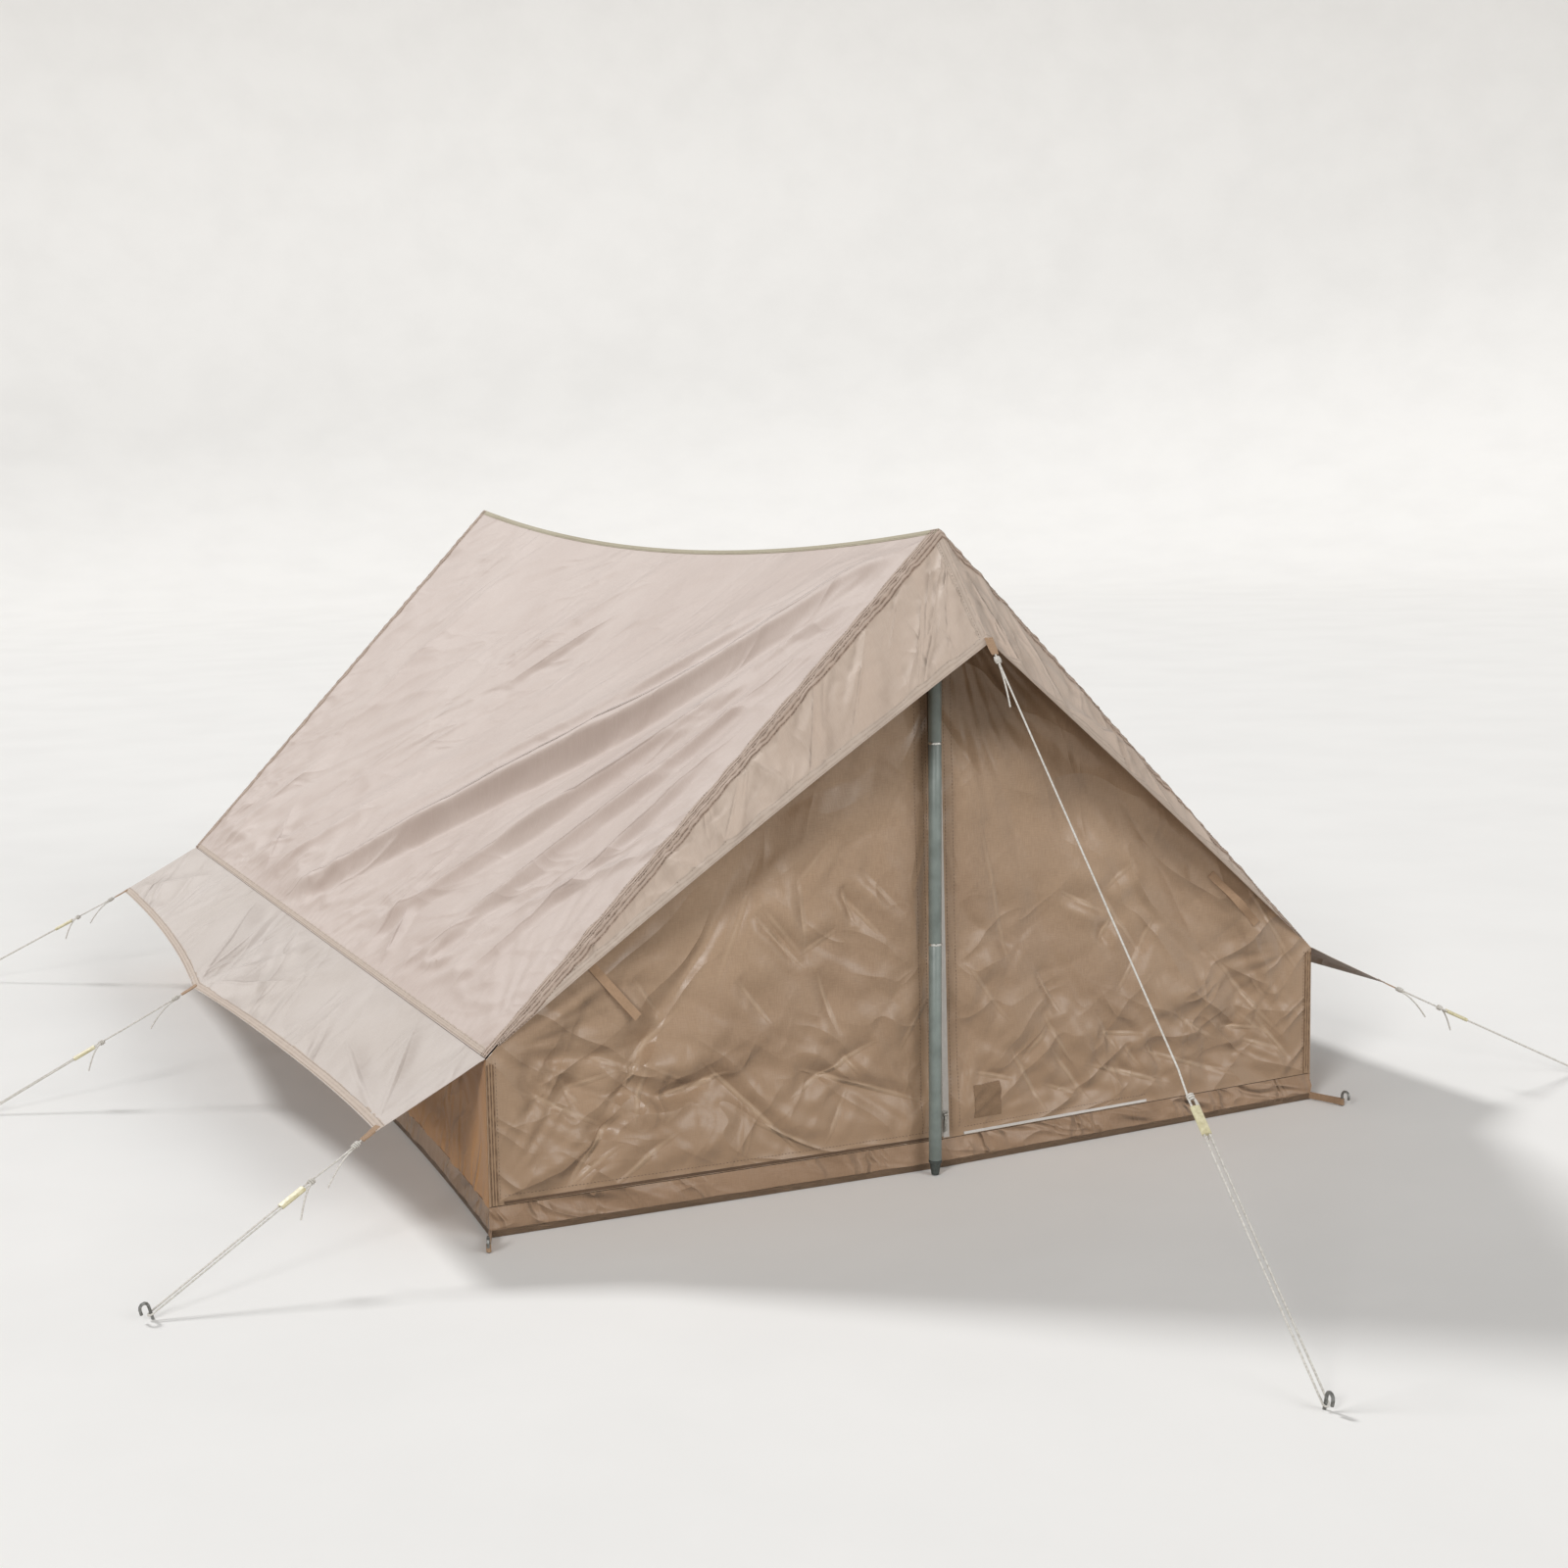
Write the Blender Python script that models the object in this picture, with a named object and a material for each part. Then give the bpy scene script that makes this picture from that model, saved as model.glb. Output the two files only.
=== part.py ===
"""A cotton ridge tent for two, pitched: roof, walls, zipped doors, groundsheet, poles, guy lines and pegs.

Metres, +Z up. The origin is the middle of the groundsheet's underside, the front faces -Y, and left is -X.
The tent looks the same turned half round, so the rear end is the front end's meshes on an empty turned
180 degrees, and the right side is the left side's.
"""

import math

import bpy
import bmesh
from mathutils import Matrix, Vector

# Roof and ridge
RIDGE_HEIGHT = 1.100
RIDGE_OVERHANG = 0.055
RIDGE_SAG = 0.066
EAVE_HALF_WIDTH = 0.802
EAVE_HALF_LENGTH = 1.175
EAVE_HEIGHT = 0.294
HOOD_REACH = 0.165
HOOD_DROP = 0.178
HOOD_SCALLOP = 0.009
HOOD_END_TRIM = 0.022
FLAP_REACH_AT_ENDS = 0.180
FLAP_REACH_AT_MIDDLE = 0.237
FLAP_DROP = 0.092
FLAP_SCALLOP = 0.020

# Floor and walls
FLOOR_BEYOND_EAVE = 0.003
SIDE_BOW_IN = 0.050
SILL_BOW_OUT = 0.030
TUB_HEIGHT = 0.050
WALL_LEAN = 0.020
HEAD_HEIGHT = 0.085
LEAF_TOP_GAP = 0.030

# Cloth, tape and webbing
CLOTH = 0.0015
HEM = 0.018
TAPE = 0.0012
TAPE_HALF_WIDTH = 0.013
WEBBING = 0.0024
WEBBING_WIDTH = 0.014
TIE_TAB_LENGTH = 0.026
TAB_SHARES = ((0, 1.0), (0.55, 1.0), (0.85, 0.75), (1, 0.4))
TIE_BACK_WIDTH = 0.015

# Clearances between pieces that are sewn, sit or slide on each other
SEAM_GAP = 0.0009
SEAT_GAP = 0.0004
HINGE_GAP = 0.0004
SILL_GAP = 0.0007
LEAF_CORNER_GAP = 0.005
SLIDE_GAP = 0.00035

# Poles
POLE_RADIUS = 0.011
POLE_WALL = 0.0012
POLE_SET_BACK = 0.014
POLE_FOOT_OUT = 0.020
POLE_FOOT_LEFT = 0.030
POLE_JOINT_HEIGHTS = (0.398, 0.740)
POLE_POINT_RADIUS = 0.0025
POLE_PLUG_TAPER = 0.014
SPIGOT_LENGTH = 0.050
RING_HEIGHT = 0.0035
RING_DEPTH = 0.0004
FOOT_RADIUS = 0.006
FOOT_TAPER = 0.028

# Door zip
COIL_RADIUS = 0.0021
COIL_OUT = 0.0042
COIL_OUT_LEFT = 0.0023
SLIDER_LENGTH = 0.016
SLIDER_WIDTH = 0.0115
SLIDER_PLATE = 0.0012
SLIDER_CLEAR_OF_PARTING = 0.0004
SLIDER_REST_ABOVE_SILL = 0.034
PIN_RADIUS = 0.0008
PULL_LENGTH = 0.030
PULL_WIDTH = 0.0044
PULL_THICKNESS = 0.0014
PULL_RIM = 0.001
EAR_THICKNESS = 0.0012
EAR_ROOT = 0.004
EAR_NECK = 0.0022

# Guy lines, runners and pegs
LINE_RADIUS = 0.0015
KNOT_SWELL = 2.4
KNOT_LENGTH = 0.016
KNOT_ABOVE_RUNNER = 0.012
KNOT_TAIL = 0.008
STRANDS_MEET = 0.050
PEG_RADIUS = 0.0025
PEG_LENGTH = 0.180
PEG_HEAD_HEIGHT = 0.020
PEG_HOOK_RADIUS = 0.007
PEG_HOOK_TAIL = 0.008
PEG_POINT = 0.014
PEG_LEAN = math.radians(15)
LOOP_HEIGHT = 0.009
LOOP_SLACK = 0.0005
RUNNER_LENGTH = 0.045
RUNNER_WALL = 0.0014
CORNER_LOOP_REACH = 0.070
CORNER_LOOP_AWAY = math.radians(20)
CORNER_LOOP_HEIGHT = 0.012
CORNER_LOOP_CLOTH = 0.0018
CORNER_LOOP_SEWN = 0.004
CORNER_LOOP_SEAM = 0.053

# Where each guy line is pegged, from its tie point, and where its runner sits, up from the peg
END_GUYS = {
    "front": {"out": 0.945, "aside": -0.063, "runner": 0.400},
    "rear": {"out": 0.850, "aside": 0.0, "runner": 0.360},
}
CORNER_GUY_OUT = 0.373
CORNER_GUY_ASIDE = 0.110
CORNER_GUY_RUNNER = 0.245
SIDE_GUYS = {
    "front": {"out": CORNER_GUY_OUT, "aside": -CORNER_GUY_ASIDE, "runner": CORNER_GUY_RUNNER},
    "middle": {"out": 0.400, "aside": 0.0, "runner": 0.180},
    "rear": {"out": CORNER_GUY_OUT, "aside": CORNER_GUY_ASIDE, "runner": CORNER_GUY_RUNNER},
}
# Where along the flap each side guy line is tied: -1 is its front end and 1 its rear end
TIE_SHARES = {"front": -1, "middle": 0, "rear": 1}

# The main folds: start and end on the cloth, half width and height. The roof's are (along, down the slope)
FOLD_FADE = 0.100
ROOF_FOLDS = (
    ((-1.20, 0.06), (0.26, 1.10), 0.075, 0.017),
    ((-1.17, 0.30), (-0.40, 1.05), 0.070, 0.009),
    ((-0.35, 0.15), (0.10, 0.70), 0.060, 0.006),
    ((1.10, 0.10), (0.55, 1.00), 0.090, 0.006),
)
# The door leaves' are (across from the zip, up), and all of them go inwards, clear of the pole
LEAF_FOLDS = {
    -1: (
        ((0.10, 0.75), (0.50, 0.10), 0.045, 0.010),
        ((0.04, 0.40), (0.42, 0.30), 0.040, 0.008),
        ((0.05, 0.12), (0.62, 0.16), 0.035, 0.009),
    ),
    1: (
        ((0.06, 0.80), (0.40, 0.08), 0.045, 0.011),
        ((0.16, 0.62), (0.66, 0.14), 0.040, 0.010),
        ((0.03, 0.22), (0.40, 0.14), 0.035, 0.007),
    ),
}
SIDE_PLEATS = 7
SIDE_PLEAT_DEPTH = 0.005
TIE_BACKS = {-1: ((0.626, 0.430), (0.544, 0.331)), 1: ((0.582, 0.445), (0.668, 0.355))}
TIE_BACK_LIFT = 0.005

# Facets
ROOF_CELLS = (22, 14)
FLAP_CELLS = (20, 2)
HOOD_CELLS = (16, 3)
LEAF_CELLS = (12, 8)
GUSSET_CELLS = (10, 2)
SIDE_CELLS = (21, 3)
TUB_SIDE_POINTS = 12
ROUND_SIDES = 16
BORE_SIDES = 10

# Worked out from the sizes above
RIDGE_HALF = EAVE_HALF_LENGTH + RIDGE_OVERHANG
FLOOR_HALF_WIDTH = EAVE_HALF_WIDTH + FLOOR_BEYOND_EAVE
RIDGE_SLOPE = (RIDGE_HEIGHT - EAVE_HEIGHT) / EAVE_HALF_WIDTH
SLOPE_LENGTH = math.hypot(EAVE_HALF_WIDTH, RIDGE_HEIGHT - EAVE_HEIGHT)
SLOPE_LIFT = SLOPE_LENGTH / EAVE_HALF_WIDTH
UNDER_ROOF = (CLOTH / 2 + SEAT_GAP) * SLOPE_LIFT
SILL_HEIGHT = TUB_HEIGHT + SILL_GAP
STRAND_GAP = 2 * (PEG_RADIUS + SLIDE_GAP + LINE_RADIUS)
UP = Vector((0, 0, 1))
# Takes a plate drawn flat as (out, up) to a plate that stands on edge, with its thickness along X
ON_EDGE = Matrix(((0, 0, 1, 0), (1, 0, 0, 0), (0, 1, 0, 0), (0, 0, 0, 1)))


def clear_scene():
    for old in list(bpy.data.objects):
        bpy.data.objects.remove(old, do_unlink=True)


def material(name, hex_colour, roughness, metallic=0.0):
    channels = [int(hex_colour[i : i + 2], 16) / 255 for i in (0, 2, 4)]
    linear = [c / 12.92 if c <= 0.04045 else ((c + 0.055) / 1.055) ** 2.4 for c in channels]
    made = bpy.data.materials.new(name)
    made.use_nodes = True
    shader = made.node_tree.nodes["Principled BSDF"]
    shader.inputs["Base Color"].default_value = (*linear, 1)
    shader.inputs["Roughness"].default_value = roughness
    shader.inputs["Metallic"].default_value = metallic
    return made


def add_object(name, mesh, finish, parent=None, origin=(0, 0, 0), smooth=True):
    """Links a mesh, given in the parent's space, as an object whose own origin is at origin."""
    origin = Vector(origin)
    mesh.transform(Matrix.Translation(-origin))
    mesh.materials.clear()
    mesh.materials.append(finish)
    if smooth:
        mesh.shade_smooth()
        mesh.set_sharp_from_angle(angle=math.radians(35))
    piece = bpy.data.objects.new(name, mesh)
    piece.location = origin
    piece.parent = parent
    bpy.context.scene.collection.objects.link(piece)
    return piece


def add_empty(name, turn=0.0):
    empty = bpy.data.objects.new(name, None)
    empty.rotation_euler = (0, 0, turn)
    bpy.context.scene.collection.objects.link(empty)
    return empty


def copy_turned(piece, name, parent):
    """The same piece at the other end or side: its own object on the same mesh, under a turned empty."""
    twin = piece.copy()
    twin.name = name
    twin.parent = parent
    bpy.context.scene.collection.objects.link(twin)
    return twin


def bmesh_to_mesh(name, bm):
    bmesh.ops.recalc_face_normals(bm, faces=bm.faces)
    mesh = bpy.data.meshes.new(name)
    bm.to_mesh(mesh)
    bm.free()
    return mesh


def grid_mesh(name, point, across, down):
    """A sheet of across by down cells, whose corners are point(u, v) with u and v from 0 to 1."""
    bm = bmesh.new()
    rows = []
    for j in range(down + 1):
        rows.append([bm.verts.new(point(i / across, j / down)) for i in range(across + 1)])
    for j in range(down):
        for i in range(across):
            bm.faces.new((rows[j][i], rows[j][i + 1], rows[j + 1][i + 1], rows[j + 1][i]))
    return bmesh_to_mesh(name, bm)


def add_thickness(piece, thickness=CLOTH):
    wall = piece.modifiers.new("cloth thickness", "SOLIDIFY")
    wall.thickness = thickness
    wall.offset = 0
    return piece


def evaluated_mesh(piece):
    """The mesh of an object with its modifiers, or of a curve, free of the object."""
    graph = bpy.context.evaluated_depsgraph_get()
    graph.update()
    return bpy.data.meshes.new_from_object(piece.evaluated_get(graph))


def join_helper(piece, helper_mesh, name):
    """Adds a Boolean union with a helper mesh, which is given in the piece's own space."""
    helper = bpy.data.objects.new(name, helper_mesh)
    helper.parent = piece
    helper.hide_render = True
    helper.display_type = "WIRE"
    bpy.context.scene.collection.objects.link(helper)
    union = piece.modifiers.new(name, "BOOLEAN")
    union.operation = "UNION"
    union.object = helper
    return helper


def tube_mesh(name, points, radius, swells=None, bevel=2):
    """A round tube with closed ends along points; swells scales its radius at each point."""
    curve = bpy.data.curves.new(name, "CURVE")
    curve.dimensions = "3D"
    curve.bevel_depth = radius
    curve.bevel_resolution = bevel
    curve.use_fill_caps = True
    spline = curve.splines.new("POLY")
    spline.points.add(len(points) - 1)
    for i, place in enumerate(points):
        spline.points[i].co = (*place, 1)
        spline.points[i].radius = swells[i] if swells else 1.0
    holder = bpy.data.objects.new(name, curve)
    bpy.context.scene.collection.objects.link(holder)
    mesh = evaluated_mesh(holder)
    bpy.data.objects.remove(holder, do_unlink=True)
    bm = bmesh.new()
    bm.from_mesh(mesh)
    bmesh.ops.remove_doubles(bm, verts=bm.verts, dist=1e-6)
    bm.to_mesh(mesh)
    bm.free()
    return mesh


def plate_mesh(name, outlines, height):
    """A flat plate of the given height along Z: the first outline is its edge and the rest are holes."""
    curve = bpy.data.curves.new(name, "CURVE")
    curve.dimensions = "2D"
    curve.fill_mode = "BOTH"
    curve.extrude = height / 2
    for outline in outlines:
        spline = curve.splines.new("POLY")
        spline.points.add(len(outline) - 1)
        for i, (x, y) in enumerate(outline):
            spline.points[i].co = (x, y, 0, 1)
        spline.use_cyclic_u = True
    holder = bpy.data.objects.new(name, curve)
    bpy.context.scene.collection.objects.link(holder)
    mesh = evaluated_mesh(holder)
    bpy.data.objects.remove(holder, do_unlink=True)
    bm = bmesh.new()
    bm.from_mesh(mesh)
    bmesh.ops.remove_doubles(bm, verts=bm.verts, dist=1e-6)
    bmesh.ops.recalc_face_normals(bm, faces=bm.faces)
    bm.to_mesh(mesh)
    bm.free()
    return mesh


def arc(centre, radius, start, end, steps):
    """Points along an arc, with both ends, from start to end in radians."""
    turn = (end - start) / steps
    return [
        (centre[0] + radius * math.cos(start + turn * i), centre[1] + radius * math.sin(start + turn * i))
        for i in range(steps + 1)
    ]


def turned_mesh(name, profile, sides=ROUND_SIDES):
    """A closed profile of (radius, height) points, spun about Z into a solid."""
    bm = bmesh.new()
    points = [bm.verts.new((r, 0, z)) for r, z in profile]
    edges = [bm.edges.new((points[i], points[(i + 1) % len(points)])) for i in range(len(points))]
    bmesh.ops.spin(bm, geom=points + edges, cent=(0, 0, 0), axis=(0, 0, 1), angle=2 * math.pi, steps=sides)
    bmesh.ops.remove_doubles(bm, verts=bm.verts, dist=1e-6)
    bmesh.ops.dissolve_degenerate(bm, dist=1e-6, edges=bm.edges)
    loose = [v for v in bm.verts if not v.link_faces]
    bmesh.ops.delete(bm, geom=loose, context="VERTS")
    return bmesh_to_mesh(name, bm)


def mix(a, b, share):
    return a + (b - a) * share


def fade(distance, run):
    """0 at an edge, rising smoothly to 1 at run away from it."""
    share = min(max(distance / run, 0.0), 1.0)
    return share * share * (3 - 2 * share)


def fold_height(x, y, folds):
    """How far the folds lift the cloth at (x, y): each is a rounded ridge that dies away at both ends."""
    lift = 0.0
    for (x0, y0), (x1, y1), half_width, height in folds:
        length = math.hypot(x1 - x0, y1 - y0)
        along = ((x - x0) * (x1 - x0) + (y - y0) * (y1 - y0)) / length**2
        across = ((x - x0) * (y1 - y0) - (y - y0) * (x1 - x0)) / length
        if 0 < along < 1:
            lift += height * math.sin(math.pi * along) ** 0.7 * math.exp(-((across / half_width) ** 2))
    return lift


def ridge_height(y):
    return RIDGE_HEIGHT - RIDGE_SAG * (1 - min(abs(y) / RIDGE_HALF, 1.0) ** 2)


def roof_height(x, y):
    """The roof's middle surface, without its folds."""
    return mix(ridge_height(y), EAVE_HEIGHT, abs(x) / EAVE_HALF_WIDTH)


def seam_y(x):
    """The front seam, where roof, hood and end wall meet, leans out towards the ridge."""
    return -mix(RIDGE_HALF, EAVE_HALF_LENGTH, abs(x) / EAVE_HALF_WIDTH)


def zip_top():
    """Where the zip ends and both door leaves start, below the wall's fixed head."""
    return Vector((0, -(EAVE_HALF_LENGTH + WALL_LEAN), wall_top(0) - HEAD_HEIGHT))


def hinge_edge(share):
    """The line that a door leaf folds on, from the zip's top down to the floor's corner, on the +X side."""
    corner = Vector((FLOOR_HALF_WIDTH, -EAVE_HALF_LENGTH, SILL_HEIGHT))
    return zip_top().lerp(corner, share)


def zip_edge(share):
    """The parting line of the two leaves, from the zip's top down to the middle of the sill."""
    foot = Vector((0, -(EAVE_HALF_LENGTH + SILL_BOW_OUT), SILL_HEIGHT))
    return zip_top().lerp(foot, share)


def wall_y_at_top(x):
    return -(EAVE_HALF_LENGTH + WALL_LEAN * (1 - abs(x) / EAVE_HALF_WIDTH))


def wall_top(x):
    """The end wall's upper edge, just under the roof."""
    return roof_height(x, wall_y_at_top(x)) - UNDER_ROOF - CLOTH / 8


def wall_y(x, z):
    """The end wall's middle surface, for tabs that lie on it."""
    share = (zip_top().z - z) / (zip_top().z - SILL_HEIGHT)
    hinge = hinge_edge(share)
    parting = zip_edge(share)
    if abs(x) >= hinge.x:
        return wall_y_at_top(x)
    return mix(parting.y, hinge.y, abs(x) / hinge.x)


def roof_panel(name, finish, parent):
    """One slope of the roof, from under the ridge tape down to the eave seam."""
    inset = SEAM_GAP / 2
    first = SEAM_GAP / 2 / EAVE_HALF_WIDTH + CLOTH / 2 / SLOPE_LIFT / EAVE_HALF_WIDTH
    last = 1 - inset / SLOPE_LENGTH
    normal = Vector((-(RIDGE_HEIGHT - EAVE_HEIGHT), 0, EAVE_HALF_WIDTH)).normalized()

    second = (TAPE_HALF_WIDTH + HEM / 2) / EAVE_HALF_WIDTH
    top_row = 1 / ROOF_CELLS[1]

    def point(u, v):
        down = mix(second, last, (v - top_row) / (1 - top_row)) if v > 0 else first
        x = down * EAVE_HALF_WIDTH
        half_length = -seam_y(x) - inset
        y = (2 * u - 1) * half_length
        slope = down * SLOPE_LENGTH
        edge = min(half_length - abs(y), slope, SLOPE_LENGTH - slope)
        lift = fold_height(y, slope, ROOF_FOLDS) * fade(edge - HEM, FOLD_FADE)
        return Vector((-x, y, roof_height(x, y))) + normal * lift

    return add_thickness(add_object(name, grid_mesh(name, point, *ROOF_CELLS), finish, parent))


def flap_outer_edge(share):
    """The eave flap's free edge, hollowed between its three ties; share runs from -1 to 1 along it."""
    part = abs(share)
    bulge = 4 * part * (1 - part)
    reach = mix(FLAP_REACH_AT_MIDDLE, FLAP_REACH_AT_ENDS, part) - FLAP_SCALLOP * bulge
    return Vector((-(EAVE_HALF_WIDTH + reach), share * EAVE_HALF_LENGTH, EAVE_HEIGHT - FLAP_DROP))


def webbing_tab(root, tip):
    """A doubled webbing tab, sewn round the cloth's edge, that narrows to its tip."""
    run = tip - root
    side = run.cross(UP).normalized() * (WEBBING_WIDTH / 2)
    up = side.cross(run).normalized() * (WEBBING / 2)
    bm = bmesh.new()
    rings = []
    for share, narrowing in TAB_SHARES:
        place = root.lerp(tip, share)
        half = side * narrowing
        corners = (place + half + up, place - half + up, place - half - up, place + half - up)
        rings.append([bm.verts.new(corner) for corner in corners])
    for a, b in zip(rings, rings[1:]):
        for i in range(4):
            bm.faces.new((a[i], a[(i + 1) % 4], b[(i + 1) % 4], b[i]))
    bm.faces.new(rings[0])
    bm.faces.new(rings[-1])
    return bmesh_to_mesh("webbing_tab", bm)


def side_guy_run(place):
    """A side guy line's straight run, from its tab, which at a corner sits in from the end, to its peg."""
    guy = SIDE_GUYS[place]
    share = TIE_SHARES[place]
    tie = flap_outer_edge(share) - Vector((0, share * WEBBING_WIDTH * 0.7, 0))
    peg = Vector((tie.x - guy["out"], tie.y + guy["aside"], LOOP_HEIGHT))
    return tie, peg


def eave_flap(name, finish, parent):
    """The flap below the eave seam, with a webbing tab at each of its three ties."""

    def point(u, v):
        share = 2 * u - 1
        outer = flap_outer_edge(share)
        inner = Vector((-(EAVE_HALF_WIDTH + SEAM_GAP / 2), outer.y, EAVE_HEIGHT - SEAM_GAP / 4))
        return inner.lerp(outer, v)

    flap = add_thickness(add_object(name, grid_mesh(name, point, *FLAP_CELLS), finish, parent))
    for place in SIDE_GUYS:
        tie, peg = side_guy_run(place)
        run = (peg - tie).normalized()
        inward = Vector((1, 0, FLAP_DROP / FLAP_REACH_AT_MIDDLE)).normalized()
        tab = webbing_tab(tie + inward * WEBBING_WIDTH, tie + run * TIE_TAB_LENGTH)
        join_helper(flap, tab, name + "_tab_" + place)
    return flap


def hood_point(share, down):
    """The hood's surface: share from the ridge's end (0) to an eave corner (1), down from seam to hem."""
    x = share * EAVE_HALF_WIDTH
    seam = Vector((x, seam_y(x), mix(RIDGE_HEIGHT, EAVE_HEIGHT, share)))
    apex = Vector((0, -(RIDGE_HALF + HOOD_REACH), RIDGE_HEIGHT - HOOD_DROP))
    corner = Vector((EAVE_HALF_WIDTH, -EAVE_HALF_LENGTH, EAVE_HEIGHT))
    free = apex.lerp(corner, share)
    rise = (seam - free).normalized() if (seam - free).length > 1e-6 else UP
    free = free + rise * min(HOOD_SCALLOP * 4 * share * (1 - share), (seam - free).length / 2)
    start = SEAM_GAP / 2 / max((free - seam).length, 1e-6)
    return seam.lerp(free, mix(start, 1, down))


def end_guy_run(end):
    """The straight run of an end guy line: from the hood's point to its peg, drawn as if at the front."""
    guy = END_GUYS[end]
    tie = hood_point(0, 1)
    peg = Vector((tie.x + guy["aside"], tie.y - guy["out"], LOOP_HEIGHT))
    return tie, peg


def hood(end, finish, parent):
    """The two-piece porch hood, sewn along its own ridge, with a webbing tab at its point."""
    name = end + "_hood"
    last = 1 - HOOD_END_TRIM / EAVE_HALF_WIDTH

    def point(u, v):
        share = (2 * u - 1) * last
        place = hood_point(abs(share), v)
        return Vector((math.copysign(place.x, share), place.y, place.z))

    piece = add_thickness(add_object(name, grid_mesh(name, point, *HOOD_CELLS), finish, parent))
    tie, peg = end_guy_run(end)
    run = (peg - tie).normalized()
    up_the_ridge = (hood_point(0, 0) - tie).normalized()
    tab = webbing_tab(tie + up_the_ridge * WEBBING_WIDTH, tie + run * TIE_TAB_LENGTH)
    join_helper(piece, tab, name + "_tab")
    return piece


def ridge_tape(name, finish):
    """The tape that binds the ridge seam, folded over it from pole to pole."""
    lift = (CLOTH / 2 + SEAT_GAP + TAPE / 2) * SLOPE_LIFT
    reach = RIDGE_HALF - SEAM_GAP

    def point(u, v):
        y = (2 * u - 1) * reach
        x = (2 * v - 1) * TAPE_HALF_WIDTH
        return Vector((x, y, roof_height(x, y) + lift))

    mesh = grid_mesh(name, point, ROOF_CELLS[0], 2)
    return add_thickness(add_object(name, mesh, finish), TAPE)


def gusset(name, side, finish, parent):
    """The fixed half of an end wall, from the roof seam down to the line that the door leaf folds on."""
    across, down = GUSSET_CELLS
    fold = hinge_edge(1) - hinge_edge(0)
    step_out = (CLOTH / 2 + HINGE_GAP) * fold.length / -fold.z
    corner_share = 1 - LEAF_CORNER_GAP / -fold.z

    def point(u, v):
        share = u if u == 1 else u * across / (across - 1) * corner_share
        hinge = hinge_edge(share)
        inner = Vector((hinge.x + step_out, hinge.y, hinge.z))
        if u == 1:
            inner = Vector((FLOOR_HALF_WIDTH - CLOTH / 2, hinge.y, hinge.z + CLOTH))
        top_x = max(share * (EAVE_HALF_WIDTH + CLOTH / 2), SEAM_GAP / 2)
        top_z = wall_top(min(top_x, EAVE_HALF_WIDTH)) - CLOTH / 4
        place = inner.lerp(Vector((top_x, wall_y_at_top(top_x), top_z)), v)
        return Vector((place.x * side, place.y, place.z))

    return add_thickness(add_object(name, grid_mesh(name, point, across, down), finish, parent))


def coil_x(side):
    return side * (COIL_OUT if side > 0 else COIL_OUT_LEFT)


def leaf_first_share():
    """Where a leaf's own cloth starts, as a share of the way down from the zip's top."""
    return LEAF_TOP_GAP / (zip_top().z - SILL_HEIGHT)


def door_leaf(name, side, finish, parent):
    """Half of the door, hinged on the wall's slanting line, with the zip's coil along its free edge."""
    hinge_run = hinge_edge(1) - hinge_edge(0)
    step_in = HINGE_GAP * hinge_run.length / -hinge_run.z
    first = leaf_first_share()
    folds = LEAF_FOLDS[side]

    def point(u, v):
        share = mix(first, 1, v)
        hinge = hinge_edge(share)
        parting = zip_edge(share)
        near = Vector((abs(coil_x(side)), parting.y, parting.z))
        far_x = min(hinge.x - step_in, FLOOR_HALF_WIDTH - LEAF_CORNER_GAP)
        far = Vector((max(far_x, near.x + CLOTH), hinge.y, hinge.z))
        place = near.lerp(far, u)
        edge = min(place.x - near.x, far.x - place.x, place.z - SILL_HEIGHT)
        sink = fold_height(place.x, place.z, folds) * fade(edge - HEM, FOLD_FADE / 2)
        return Vector((place.x * side, place.y + sink, place.z))

    leaf = add_object(name, grid_mesh(name, point, *LEAF_CELLS), finish, parent, origin=hinge_at(side, 0.5))
    add_thickness(leaf)
    ends = [zip_edge(first), zip_edge(1)]
    coil = tube_mesh(name + "_coil", [(coil_x(side), e.y, e.z) for e in ends], COIL_RADIUS)
    coil.transform(Matrix.Translation(-hinge_at(side, 0.5)))
    join_helper(leaf, coil, name + "_coil")
    return leaf


def hinge_at(side, share):
    place = hinge_edge(share)
    return Vector((place.x * side, place.y, place.z))


def floor_outline(offset):
    """The groundsheet's plan, corner to corner, moved out by offset; sides bow in and ends bow out."""
    corner = Vector((FLOOR_HALF_WIDTH, -EAVE_HALF_LENGTH))
    points = []
    for sign in (1, -1):
        for i in range(TUB_SIDE_POINTS + 1):
            along = mix(-1, 1, i / TUB_SIDE_POINTS)
            x = corner.x - SIDE_BOW_IN * (1 - along**2)
            points.append(Vector((x * sign, along * EAVE_HALF_LENGTH * sign)))
        points.append(Vector((0, (EAVE_HALF_LENGTH + SILL_BOW_OUT) * sign)))
    moved = []
    for i, here in enumerate(points):
        before = (here - points[i - 1]).normalized()
        after = (points[(i + 1) % len(points)] - here).normalized()
        outward = Vector((before.y + after.y, -before.x - after.x)).normalized()
        moved.append(here + outward * offset / outward.dot(Vector((after.y, -after.x))))
    return moved


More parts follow.
